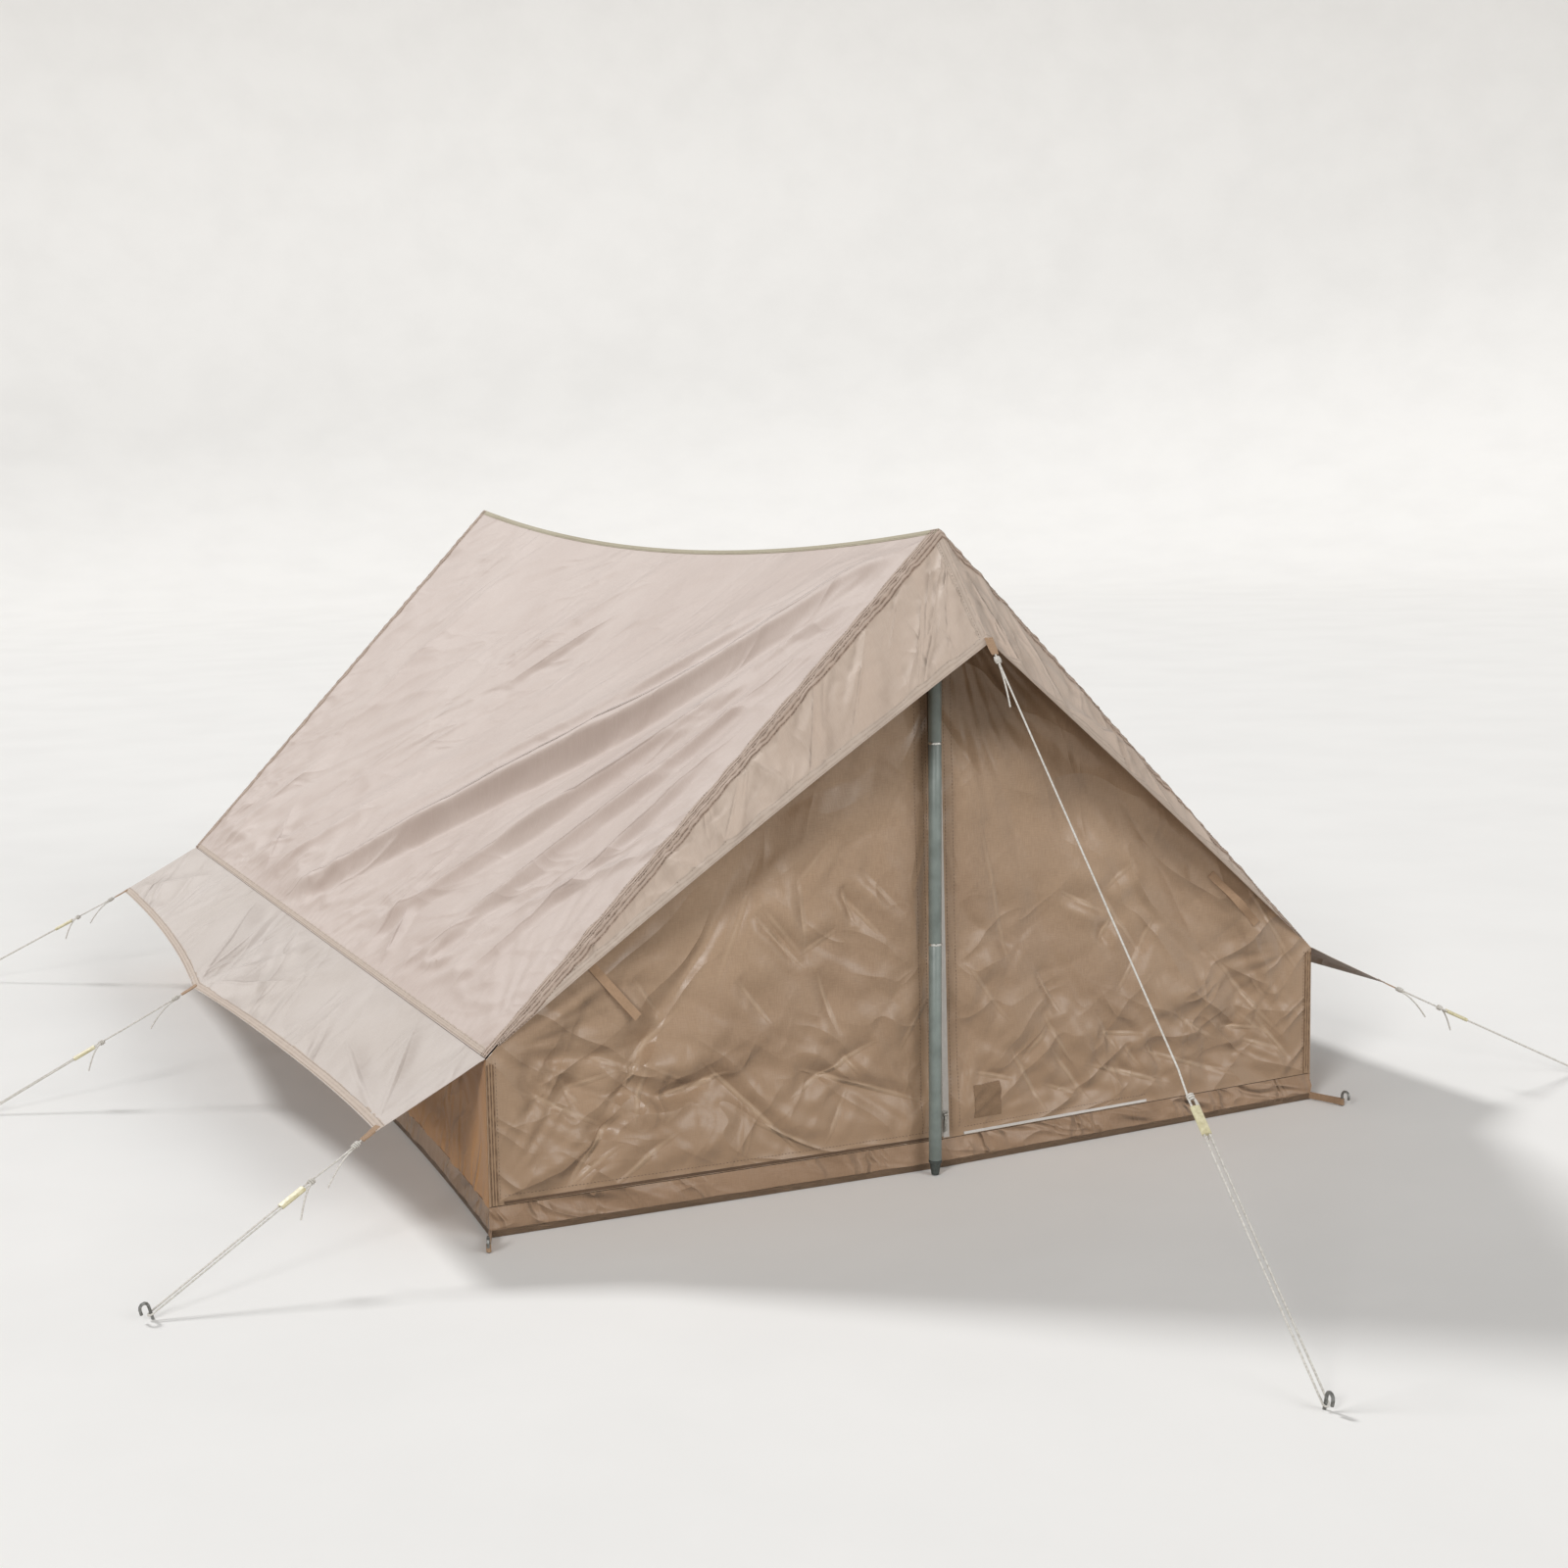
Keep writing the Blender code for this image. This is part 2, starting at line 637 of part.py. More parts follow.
def groundsheet(name, finish):
    """The floor, flat below, with its edge turned up into a shallow tub, and a peg loop at each corner."""
    outer = floor_outline(CLOTH / 2)
    inner = floor_outline(-CLOTH / 2)
    levels = ((outer, 0), (outer, TUB_HEIGHT), (inner, TUB_HEIGHT), (inner, CLOTH))
    bm = bmesh.new()
    loops = [[bm.verts.new((p.x, p.y, z)) for p in outline] for outline, z in levels]
    for a, b in zip(loops, loops[1:]):
        for i in range(len(a)):
            k = (i + 1) % len(a)
            bm.faces.new((a[i], a[k], b[k], b[i]))
    bm.faces.new(loops[0])
    bm.faces.new(loops[-1])
    sheet = add_object(name, bmesh_to_mesh(name, bm), finish, smooth=False)
    for end in (-1, 1):
        for side in (-1, 1):
            join_helper(sheet, corner_loop(side, end), f"{name}_loop_{side}_{end}")
    return sheet


def corner_peg_place(side, end):
    reach = CORNER_LOOP_REACH
    return Vector(
        (
            side * (FLOOR_HALF_WIDTH + reach * math.sin(CORNER_LOOP_AWAY)),
            end * (EAVE_HALF_LENGTH + reach * math.cos(CORNER_LOOP_AWAY)),
            0,
        )
    )


def corner_loop(side, end):
    """A loop of webbing on edge, from the floor's corner round its peg."""
    eye = PEG_RADIUS + SLIDE_GAP
    rim = eye + CORNER_LOOP_CLOTH
    root = -CORNER_LOOP_REACH - CORNER_LOOP_SEWN
    neck = CORNER_LOOP_CLOTH * 1.4
    slit = CORNER_LOOP_CLOTH * 0.2
    quarter = math.pi / 2
    outer = arc((0, 0), rim, -quarter, quarter, 8) + [(root, neck), (root, -neck)]
    hole = arc((0, 0), eye, -quarter, quarter, 8) + [(-CORNER_LOOP_SEAM, slit), (-CORNER_LOOP_SEAM, -slit)]
    mesh = plate_mesh("corner_loop", [outer, hole], CORNER_LOOP_HEIGHT)
    place = corner_peg_place(side, end)
    away = math.atan2(end * math.cos(CORNER_LOOP_AWAY), side * math.sin(CORNER_LOOP_AWAY))
    raised = Matrix.Translation((place.x, place.y, CORNER_LOOP_HEIGHT / 2 + CLOTH))
    mesh.transform(raised @ Matrix.Rotation(away, 4, "Z"))
    return mesh


def side_wall(name, finish, parent):
    """The low wall under the eave, softly pleated, from the eave seam down to the tub's bowed edge."""
    half_length = EAVE_HALF_LENGTH - CLOTH / 2 - SEAM_GAP / 2
    top_x = EAVE_HALF_WIDTH - CLOTH
    top_z = roof_height(top_x, RIDGE_HALF) - UNDER_ROOF - CLOTH / 2 * RIDGE_SLOPE

    def point(u, v):
        y = (2 * u - 1) * half_length
        bow = SIDE_BOW_IN * (1 - (y / EAVE_HALF_LENGTH) ** 2)
        x = mix(top_x, FLOOR_HALF_WIDTH - bow, v)
        z = mix(top_z, SILL_HEIGHT, v)
        calm = fade(half_length - abs(y), FOLD_FADE) * math.sin(math.pi * v)
        x -= SIDE_PLEAT_DEPTH * calm * (1 + math.cos(2 * math.pi * SIDE_PLEATS * u))
        return Vector((-x, y, min(z, roof_height(min(x, EAVE_HALF_WIDTH), y) - UNDER_ROOF)))

    return add_thickness(add_object(name, grid_mesh(name, point, *SIDE_CELLS), finish, parent))


def tie_back(name, side, finish, parent):
    """A webbing tie that hangs in front of the wall, to hold the rolled door leaf."""
    (x0, z0), (x1, z1) = TIE_BACKS[side]
    run = Vector((x1 - x0, 0, z1 - z0))
    across = Vector((-run.z, 0, run.x)).normalized() * (TIE_BACK_WIDTH / 2)
    clear = CLOTH / 2 + SEAT_GAP + TAPE / 2

    def point(u, v):
        x = mix(x0, x1, u) + across.x * (2 * v - 1)
        z = mix(z0, z1, u) + across.z * (2 * v - 1)
        y = wall_y(x, z) - clear - TIE_BACK_LIFT * u * u
        return Vector((side * x, y, z))

    return add_thickness(add_object(name, grid_mesh(name, point, 6, 1), finish, parent), TAPE)


def pole_line():
    """The pole's axis: its foot on the ground and its top under the ridge's end."""
    top_y = -(RIDGE_HALF - POLE_SET_BACK)
    shoulder = ridge_height(top_y) - POLE_RADIUS * RIDGE_SLOPE - UNDER_ROOF - SEAT_GAP
    foot = Vector((-POLE_FOOT_LEFT, top_y - POLE_FOOT_OUT, SEAT_GAP))
    return foot, Vector((0, top_y, shoulder))


def pole_sections(end_name, finish, parent):
    """Three tubes that plug together: each upper one's swaged end sits in the lower one's open top."""
    foot, top = pole_line()
    length = (top - foot).length
    bore = POLE_RADIUS - POLE_WALL
    spigot = bore - SLIDE_GAP
    spigot_bore = spigot - POLE_WALL
    point_rise = (POLE_RADIUS - POLE_POINT_RADIUS) * RIDGE_SLOPE * 0.9
    ring = POLE_RADIUS - RING_DEPTH
    turn = (top - foot).to_track_quat("Z", "Y")

    def rim(at):
        return [(ring, at), (ring, at - RING_HEIGHT), (POLE_RADIUS, at - RING_HEIGHT)]

    def plug(at):
        start = at + SLIDE_GAP
        return [
            (POLE_RADIUS, start),
            (spigot, start),
            (spigot, at - SPIGOT_LENGTH),
            (spigot_bore, at - SPIGOT_LENGTH),
        ]

    lower, upper = POLE_JOINT_HEIGHTS
    profiles = {
        "bottom": [
            (0, 0),
            (FOOT_RADIUS, 0),
            (POLE_RADIUS, FOOT_TAPER),
            *reversed(rim(lower)),
            (bore, lower),
            (bore, FOOT_TAPER + POLE_WALL),
            (0, FOOT_TAPER + POLE_WALL),
        ],
        "middle": [
            *reversed(plug(lower)),
            *reversed(rim(upper)),
            (bore, upper),
            (bore, lower + 2 * POLE_PLUG_TAPER),
            (spigot_bore, lower + POLE_PLUG_TAPER),
        ],
        "top": [
            *reversed(plug(upper)),
            (POLE_RADIUS, length),
            (POLE_POINT_RADIUS, length + point_rise),
            (0, length + point_rise),
            (0, length - POLE_WALL),
            (bore, length - POLE_RADIUS),
            (bore, upper + 2 * POLE_PLUG_TAPER),
            (spigot_bore, upper + POLE_PLUG_TAPER),
        ],
    }
    sections = []
    for part, profile in profiles.items():
        piece = add_object(f"{end_name}_pole_{part}", turned_mesh(part, profile), finish, parent)
        piece.location = foot
        piece.rotation_mode = "QUATERNION"
        piece.rotation_quaternion = turn
        sections.append(piece)
    return sections


def zip_turn():
    """The zip line leans a little: the turn about X that takes Z onto it."""
    run = zip_edge(0) - zip_edge(1)
    return -math.atan2(run.y, run.z)


def slider_place():
    """The slider's middle, on the coil of the +X leaf, at rest just above the sill."""
    run = (zip_edge(0) - zip_edge(1)).normalized()
    base = zip_edge(1) + run * (SLIDER_REST_ABOVE_SILL + SLIDER_LENGTH / 2)
    return Vector((0, base.y, base.z))


def pull_pin():
    """The pin's place in the slider's own space: (across, out, up)."""
    face = COIL_RADIUS + SLIDE_GAP + SLIDER_PLATE
    out = face + PIN_RADIUS + SLIDE_GAP + EAR_THICKNESS
    return Vector((SLIDER_CLEAR_OF_PARTING + SLIDER_WIDTH / 2, -out, SLIDER_LENGTH * 0.1))


def zip_slider(name, finish, parent):
    """The slider: two plates and a web round the coil, with two ears and a pin in front for the pull."""
    gap = COIL_RADIUS + SLIDE_GAP
    face = gap + SLIDER_PLATE
    left = SLIDER_CLEAR_OF_PARTING
    right = left + SLIDER_WIDTH
    web = COIL_OUT - COIL_RADIUS - SLIDE_GAP
    outline = [(left, -face), (right, -face), (right, -gap), (web, -gap)]
    outline += [(x, -y) for x, y in reversed(outline)]
    body = plate_mesh(name, [outline], SLIDER_LENGTH)
    slider = add_object(name, body, finish, parent, smooth=False)
    slider.location = slider_place()
    slider.rotation_euler = (zip_turn(), 0, 0)
    pin = pull_pin()
    ear_inner = PULL_WIDTH / 2 + SLIDE_GAP
    root = -face + SLIDER_PLATE / 2
    neck = pin.y + PIN_RADIUS
    tip = arc((pin.y, 0), EAR_THICKNESS + PIN_RADIUS, math.pi * 1.4, math.pi * 0.6, 5)
    lug = [(root, -EAR_ROOT), (neck, -EAR_NECK), *tip, (neck, EAR_NECK), (root, EAR_ROOT)]
    for side in (-1, 1):
        ear = plate_mesh(name + "_ear", [lug], EAR_THICKNESS)
        ear_x = pin.x + side * (ear_inner + EAR_THICKNESS / 2)
        ear.transform(Matrix.Translation((ear_x, 0, pin.z)) @ ON_EDGE)
        join_helper(slider, ear, f"{name}_ear_{side}")
    reach = ear_inner + EAR_THICKNESS * 0.7
    rod = tube_mesh(name + "_pin", [(pin.x - reach, pin.y, pin.z), (pin.x + reach, pin.y, pin.z)], PIN_RADIUS)
    join_helper(slider, rod, name + "_pin")
    return slider


def zip_pull(name, finish, parent):
    """The pull tab: an eye round the slider's pin and a tab that hangs from it."""
    eye = (PIN_RADIUS + SLIDE_GAP) / math.cos(math.pi / BORE_SIDES)
    rim = eye + PULL_RIM
    half = PULL_THICKNESS / 2
    outer = arc((0, 0), rim, -math.pi * 0.36, math.pi * 1.36, 12)
    outer += [(-half, -PULL_LENGTH), (half, -PULL_LENGTH)]
    hole = arc((0, 0), eye, 0, 2 * math.pi, BORE_SIDES)[:-1]
    mesh = plate_mesh(name, [outer, hole], PULL_WIDTH)
    mesh.transform(ON_EDGE)
    pull = add_object(name, mesh, finish, parent, smooth=False)
    turn = Matrix.Rotation(zip_turn(), 3, "X")
    pull.location = slider_place() + turn @ pull_pin()
    return pull


def peg_mesh(name):
    """A wire peg along Z, its loop place at the origin: a drawn point, a straight shank and a hook on top."""
    buried = PEG_LENGTH - PEG_HEAD_HEIGHT
    hook = arc((-PEG_HOOK_RADIUS, PEG_HEAD_HEIGHT - PEG_HOOK_RADIUS), PEG_HOOK_RADIUS, 0, math.pi, 5)
    points = [(0, 0, -buried), (0, 0, -buried + PEG_POINT), (0, 0, 0)]
    points += [(x, 0, z) for x, z in hook]
    points.append((-2 * PEG_HOOK_RADIUS, 0, PEG_HEAD_HEIGHT - PEG_HOOK_RADIUS - PEG_HOOK_TAIL))
    swells = [0.25] + [1.0] * (len(points) - 1)
    return tube_mesh(name, points, PEG_RADIUS, swells)


def add_peg(name, mesh, place, away, lean, finish, parent=None):
    """Drives a peg in at place, leaning away from the tent, with its hook on the far side."""
    peg = add_object(name, mesh.copy(), finish, parent)
    heading = math.atan2(away.y, away.x)
    turn = Matrix.Rotation(heading, 4, "Z") @ Matrix.Rotation(lean, 4, "Y") @ Matrix.Rotation(math.pi, 4, "Z")
    peg.matrix_basis = Matrix.Translation(place) @ turn
    return peg


def line_frame(tie, peg):
    """Axes of a guy line: along it to the peg, and level across it."""
    run = (peg - tie).normalized()
    across = run.cross(UP).normalized()
    return run, across


def guy_line_path(tie, peg, runner_up):
    """Down the main strand, round the peg and back up to the knot above the runner, with its knots' swell."""
    run, across = line_frame(tie, peg)
    offset = across * (STRAND_GAP / 2)
    start = tie + run * (TIE_TAB_LENGTH + SEAT_GAP)
    knot_end = peg - run * (runner_up + RUNNER_LENGTH + KNOT_ABOVE_RUNNER)
    merge = knot_end - run * STRANDS_MEET
    points = [start + run * (KNOT_LENGTH * step / 3) for step in range(4)]
    swells = [1.3, KNOT_SWELL, 1.3, 1.0]
    points += [start.lerp(merge, 0.5), merge, knot_end + offset]
    points += [peg + offset]
    centre = peg + run * LOOP_SLACK
    for i in range(1, 6):
        angle = math.pi * i / 6
        points.append(centre + offset * math.cos(angle) + run * (STRAND_GAP / 2) * math.sin(angle))
    points += [peg - offset]
    swells += [1.0] * (len(points) - len(swells))
    tail = knot_end + run * KNOT_TAIL - offset
    points += [tail, tail - run * (KNOT_TAIL / 2), tail - run * KNOT_TAIL]
    swells += [1.0, KNOT_SWELL * 0.8, 1.2]
    return points, swells


def runner_mesh(name):
    """A moulded runner along Z: two bores in a flat body with round edges."""
    outline_radius = LINE_RADIUS + SLIDE_GAP + RUNNER_WALL
    half = STRAND_GAP / 2
    outer = arc((half, 0), outline_radius, -math.pi / 2, math.pi / 2, 6)
    outer += arc((-half, 0), outline_radius, math.pi / 2, 3 * math.pi / 2, 6)
    bore = (LINE_RADIUS + SLIDE_GAP) / math.cos(math.pi / BORE_SIDES)
    holes = [arc((x, 0), bore, 0, 2 * math.pi, BORE_SIDES)[:-1] for x in (-half, half)]
    return plate_mesh(name, [outer, *holes], RUNNER_LENGTH)


def runner_place(tie, peg, runner_up):
    run = (peg - tie).normalized()
    return peg - run * (runner_up + RUNNER_LENGTH / 2)


def add_guy(name, tie, peg, runner_up, wire, finishes, parent):
    """A guy line, its runner and its peg."""
    run, across = line_frame(tie, peg)
    points, swells = guy_line_path(tie, peg, runner_up)
    cord = tube_mesh(name, points, LINE_RADIUS, swells)
    line = add_object(name + "_guy_line", cord, finishes["line"], parent)
    runner = add_object(name + "_runner", runner_mesh(name), finishes["runner"], parent)
    rows = Matrix((across, run.cross(across), run)).transposed()
    runner.matrix_basis = Matrix.Translation(runner_place(tie, peg, runner_up)) @ rows.to_4x4()
    away = Vector((run.x, run.y, 0))
    pin = add_peg(name + "_peg", wire, peg, away, PEG_LEAN, finishes["peg"], parent)
    return [line, runner, pin]


def other(name):
    """A piece's name at the other end and on the other side."""
    swaps = {"front": "rear", "rear": "front", "left": "right", "right": "left"}
    return "_".join(swaps.get(word, word) for word in name.split("_"))


def build():
    clear_scene()
    cloth = material("cotton_cloth", "CDB9A8", 0.85)
    wall_cloth = material("wall_cloth", "C0A486", 0.85)
    floor_cloth = material("coated_groundsheet", "8E6A58", 0.6)
    tape = material("cotton_tape", "A79A82", 0.85)
    pole_paint = material("painted_steel_tube", "74838A", 0.4, 0.4)
    zip_metal = material("zip_metal", "A8A8A6", 0.3, 1.0)
    finishes = {
        "line": material("white_cord", "E4E2D6", 0.8),
        "runner": material("cream_plastic", "E3DCC0", 0.45),
        "peg": material("galvanised_wire", "8C8F92", 0.4, 1.0),
    }
    wire = peg_mesh("peg")
    here = add_empty("front_end_and_left_side")
    there = add_empty("rear_end_and_right_side", math.pi)
    pieces = [
        roof_panel("left_roof_panel", cloth, here),
        eave_flap("left_eave_flap", cloth, here),
        side_wall("left_side_wall", wall_cloth, here),
        zip_slider("front_zip_slider", zip_metal, here),
        zip_pull("front_zip_pull", zip_metal, here),
        *pole_sections("front", pole_paint, here),
    ]
    for side, word in ((-1, "left"), (1, "right")):
        pieces.append(gusset(f"front_{word}_gusset", side, wall_cloth, here))
        pieces.append(door_leaf(f"front_{word}_door_leaf", side, wall_cloth, here))
        pieces.append(tie_back(f"front_{word}_tie_back", side, tape, here))
        corner = corner_peg_place(side, -1)
        away = Vector((corner.x - side * FLOOR_HALF_WIDTH, corner.y + EAVE_HALF_LENGTH, 0))
        seat = Vector((corner.x, corner.y, CORNER_LOOP_HEIGHT / 2 + CLOTH))
        name = f"front_{word}_corner_peg"
        pieces.append(add_peg(name, wire, seat, away, 0, finishes["peg"], here))
    for place, guy in SIDE_GUYS.items():
        pieces += add_guy(f"left_{place}", *side_guy_run(place), guy["runner"], wire, finishes, here)
    for piece in pieces:
        twin = copy_turned(piece, other(piece.name), there)
        for modifier in twin.modifiers:
            if modifier.type == "BOOLEAN":
                helper = modifier.object.copy()
                helper.parent = twin
                bpy.context.scene.collection.objects.link(helper)
                modifier.object = helper
    for end, guy in END_GUYS.items():
        parent = here if end == "front" else there
        hood(end, cloth, parent)
        add_guy(end, *end_guy_run(end), guy["runner"], wire, finishes, parent)
    ridge_tape("ridge_tape", tape)
    groundsheet("groundsheet", floor_cloth)


build()
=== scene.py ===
"""A cotton ridge tent for two, pitched on its pegs, made in the order that it is sewn and put up.

Metres, +Z up, the front faces -Y and left is -X. The tent looks the same turned half round, so each piece is
made for the front end or the left side, and its twin is a turned copy.
"""

import math

import bpy
import numpy as np
from mathutils import Matrix, Vector


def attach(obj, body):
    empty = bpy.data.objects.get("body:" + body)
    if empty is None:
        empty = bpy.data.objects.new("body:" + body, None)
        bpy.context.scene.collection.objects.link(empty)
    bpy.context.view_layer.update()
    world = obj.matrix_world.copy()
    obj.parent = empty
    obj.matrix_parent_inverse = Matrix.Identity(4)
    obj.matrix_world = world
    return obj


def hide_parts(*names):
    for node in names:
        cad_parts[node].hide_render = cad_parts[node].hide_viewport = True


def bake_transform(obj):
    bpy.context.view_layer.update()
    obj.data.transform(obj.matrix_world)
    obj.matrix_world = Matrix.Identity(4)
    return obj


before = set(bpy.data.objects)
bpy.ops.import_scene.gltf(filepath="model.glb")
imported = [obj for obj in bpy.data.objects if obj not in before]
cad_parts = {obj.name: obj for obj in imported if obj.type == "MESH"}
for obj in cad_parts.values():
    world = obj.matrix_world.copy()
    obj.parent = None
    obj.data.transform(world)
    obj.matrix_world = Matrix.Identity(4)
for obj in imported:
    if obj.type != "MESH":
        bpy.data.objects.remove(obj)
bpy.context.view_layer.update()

# GROUNDSHEET
# Coated cloth, laid flat, with its edge turned up into a shallow tub. The wall cloths are sewn to the tub's
# rim, and a webbing loop on edge at each corner goes round a peg.
FLOOR_HALF_WIDTH = 0.805
HALF_LENGTH = 1.175
SIDE_BOW_IN = 0.050
SILL_BOW_OUT = 0.030
FLOOR_CELLS = (80, 116)
FLOOR_THICKNESS = 0.0012
FLOOR_LUMPS = 0.004
FLAT_EDGE_SHARE = 0.08
TUB_RISE = (0.012, 0.026, 0.039, 0.0496)
TUB_CRUMPLE = 0.0052
TUB_FOOT_ROLL = 0.0014


def place_vertices(piece, points):
    """Moves every vertex of a piece to the points given, which are one row of x, y, z for each."""
    piece.data.vertices.foreach_set("co", np.asarray(points, float).ravel())
    piece.data.update()


def vertex_places(piece):
    places = np.empty(len(piece.data.vertices) * 3)
    piece.data.vertices.foreach_get("co", places)
    return places.reshape(-1, 3)


def pick_only(piece):
    """Leaves one piece selected and active, as a click on it does."""
    bpy.ops.object.select_all(action="DESELECT")
    piece.select_set(True)
    bpy.context.view_layer.objects.active = piece


def cloth_grid(name, cells, surface):
    """A grid of cells laid on surface(u, v), with u and v from 0 to 1."""
    bpy.ops.object.select_all(action="DESELECT")
    bpy.ops.mesh.primitive_grid_add(x_subdivisions=cells[0], y_subdivisions=cells[1], size=2)
    piece = bpy.context.object
    piece.name = piece.data.name = name
    flat = vertex_places(piece)
    place_vertices(piece, surface((flat[:, 0] + 1) / 2, (flat[:, 1] + 1) / 2))
    return piece


def lay_flat(piece, across, along):
    """Sets a piece's UV to metres on the flat cloth, from one value of each for every vertex."""
    corners = np.empty(len(piece.data.loops), int)
    piece.data.loops.foreach_get("vertex_index", corners)
    places = np.stack([across, along], 1)[corners]
    piece.data.uv_layers.active.data.foreach_set("uv", places.ravel())


def add_wall(piece, thickness, offset=0.0):
    """Gives a sheet its thickness, and smooth shading."""
    pick_only(piece)
    wall = piece.modifiers.new("thickness", "SOLIDIFY")
    wall.thickness = thickness
    wall.offset = offset
    bpy.ops.object.modifier_apply(modifier=wall.name)
    bpy.ops.object.shade_smooth_by_angle(angle=math.radians(50))
    return piece


def swap_names(name):
    """A piece's name at the other end and on the other side."""
    swaps = {"front": "rear", "rear": "front", "left": "right", "right": "left"}
    return "_".join(swaps.get(word, word) for word in name.split("_"))


def turned_copy(piece):
    """The twin at the other end or side: a copy with its own mesh, turned half round."""
    twin = piece.copy()
    twin.data = piece.data.copy()
    twin.name = twin.data.name = swap_names(piece.name)
    bpy.context.scene.collection.objects.link(twin)
    twin.data.transform(Matrix.Rotation(math.pi, 4, "Z"))
    return twin


SLOPES = np.random.default_rng(11).uniform(-1, 1, (1024, 2))


def smooth_noise(a, b, seed=0):
    """Smooth noise on a plane, from about -1 to 1, one unit to a bump; the same on every run."""
    cell_a, cell_b = np.floor(a).astype(int), np.floor(b).astype(int)
    part_a, part_b = a - cell_a, b - cell_b

    def corner(i, j):
        slope = SLOPES[((cell_a + i) * 71 + (cell_b + j) * 367 + seed * 131) % len(SLOPES)]
        return slope[..., 0] * (part_a - i) + slope[..., 1] * (part_b - j)

    ease_a, ease_b = part_a**2 * (3 - 2 * part_a), part_b**2 * (3 - 2 * part_b)
    low = corner(0, 0) * (1 - ease_a) + corner(1, 0) * ease_a
    high = corner(0, 1) * (1 - ease_a) + corner(1, 1) * ease_a
    return 1.6 * (low * (1 - ease_b) + high * ease_b)


def floor_point(u, v):
    """The floor's plan: its sides bow in and its ends bow out."""
    across, along = 2 * u - 1, 2 * v - 1
    x = across * (FLOOR_HALF_WIDTH - SIDE_BOW_IN * (1 - along**2))
    y = along * (HALF_LENGTH + SILL_BOW_OUT * (1 - np.abs(across)))
    edge = np.minimum(1 - np.abs(across), 1 - np.abs(along))
    lump = np.clip(smooth_noise(x * 5, y * 5, 3) + 0.6 * smooth_noise(x * 13, y * 13, 4), 0, 2)
    z = FLOOR_THICKNESS / 2 + FLOOR_LUMPS * lump * np.clip(edge / FLAT_EDGE_SHARE, 0, 1)
    return np.stack([x, y, z], 1)


groundsheet = cloth_grid("floor_sheet", FLOOR_CELLS, floor_point)
pick_only(groundsheet)
bpy.ops.object.mode_set(mode="EDIT")
bpy.ops.mesh.select_all(action="SELECT")
bpy.ops.mesh.region_to_loop()
for _ in TUB_RISE:
    bpy.ops.mesh.extrude_region_move(TRANSFORM_OT_translate={"value": (0, 0, 0.001)})
bpy.ops.object.mode_set(mode="OBJECT")
points = vertex_places(groundsheet)
grid_count = (FLOOR_CELLS[0] + 1) * (FLOOR_CELLS[1] + 1)
rim_count = (len(points) - grid_count) // len(TUB_RISE)
for step, rise in enumerate(TUB_RISE):
    ring = slice(grid_count + step * rim_count, grid_count + (step + 1) * rim_count)
    x, y = points[ring, 0], points[ring, 1]
    crumple = TUB_CRUMPLE * math.sin(math.pi * rise / TUB_RISE[-1])
    sway = crumple * smooth_noise((x + y) * 17, (x - y) * 17 + rise * 90, 5)
    away = np.stack([x, y * 0.6], 1) / np.hypot(x, y * 0.6)[:, None]
    points[ring, :2] += away * (sway + TUB_FOOT_ROLL * (rise < 0.03))[:, None]
    points[ring, 2] = rise
place_vertices(groundsheet, points)
on_tub = np.arange(len(points)) >= grid_count
lay_flat(groundsheet, points[:, 0] + on_tub * points[:, 1], np.where(on_tub, 3 + points[:, 2], points[:, 1]))
add_wall(groundsheet, FLOOR_THICKNESS)

# A corner loop is doubled webbing on edge, from the tub's corner round its peg; there is one at each corner.
# A station is how far out from the corner the two plies are, and how far each is off their middle line.
LOOP_REACH = 0.070
LOOP_STATIONS = ((-0.006, 0.0016), (0.030, 0.0009), (LOOP_REACH - 0.012, 0.0016))
LOOP_AWAY = math.radians(20)
LOOP_HEIGHT = 0.012
LOOP_MIDDLE_Z = 0.0075
LOOP_WALL = 0.0016
PEG_RADIUS = 0.0025


def add_mesh(name, points, faces):
    """A new piece from its corners and faces, selected and active."""
    bpy.ops.object.select_all(action="DESELECT")
    mesh = bpy.data.meshes.new(name)
    mesh.from_pydata([tuple(p) for p in points], [], [tuple(f) for f in faces])
    piece = bpy.data.objects.new(name, mesh)
    bpy.context.scene.collection.objects.link(piece)
    pick_only(piece)
    return piece


def ribbon(name, line, widths):
    """A strip of cloth along a line: at each point it reaches from line - width to line + width."""
    line, widths = np.asarray(line, float), np.asarray(widths, float)
    count = len(line)
    points = np.concatenate([line - widths, line + widths])
    faces = [(i, i + 1, count + i + 1, count + i) for i in range(count - 1)]
    return add_mesh(name, points, faces)


def join_pieces(pieces, name):
    pick_only(pieces[0])
    for piece in pieces:
        piece.select_set(True)
    bpy.ops.object.join()
    joined = bpy.context.object
    joined.name = joined.data.name = name
    return joined


loops = []
for side in (-1, 1):
    for end in (-1, 1):
        away = Vector((side * math.sin(LOOP_AWAY), end * math.cos(LOOP_AWAY), 0))
        corner = Vector((side * FLOOR_HALF_WIDTH, end * HALF_LENGTH, LOOP_MIDDLE_Z))
        beside = away.cross(Vector((0, 0, 1)))
        rim = PEG_RADIUS + LOOP_WALL / 2
        line = [corner + away * out + beside * apart for out, apart in LOOP_STATIONS]
        for step in range(9):
            turn = math.pi * step / 8
            line.append(corner + away * (LOOP_REACH + rim * math.sin(turn)) + beside * rim * math.cos(turn))
        line += [corner + away * out - beside * apart for out, apart in reversed(LOOP_STATIONS)]
        webbing = ribbon("loop", line, [(0, 0, LOOP_HEIGHT / 2)] * len(line))
        loops.append(add_wall(webbing, LOOP_WALL))
corner_loops = join_pieces(loops, "corner_loops")


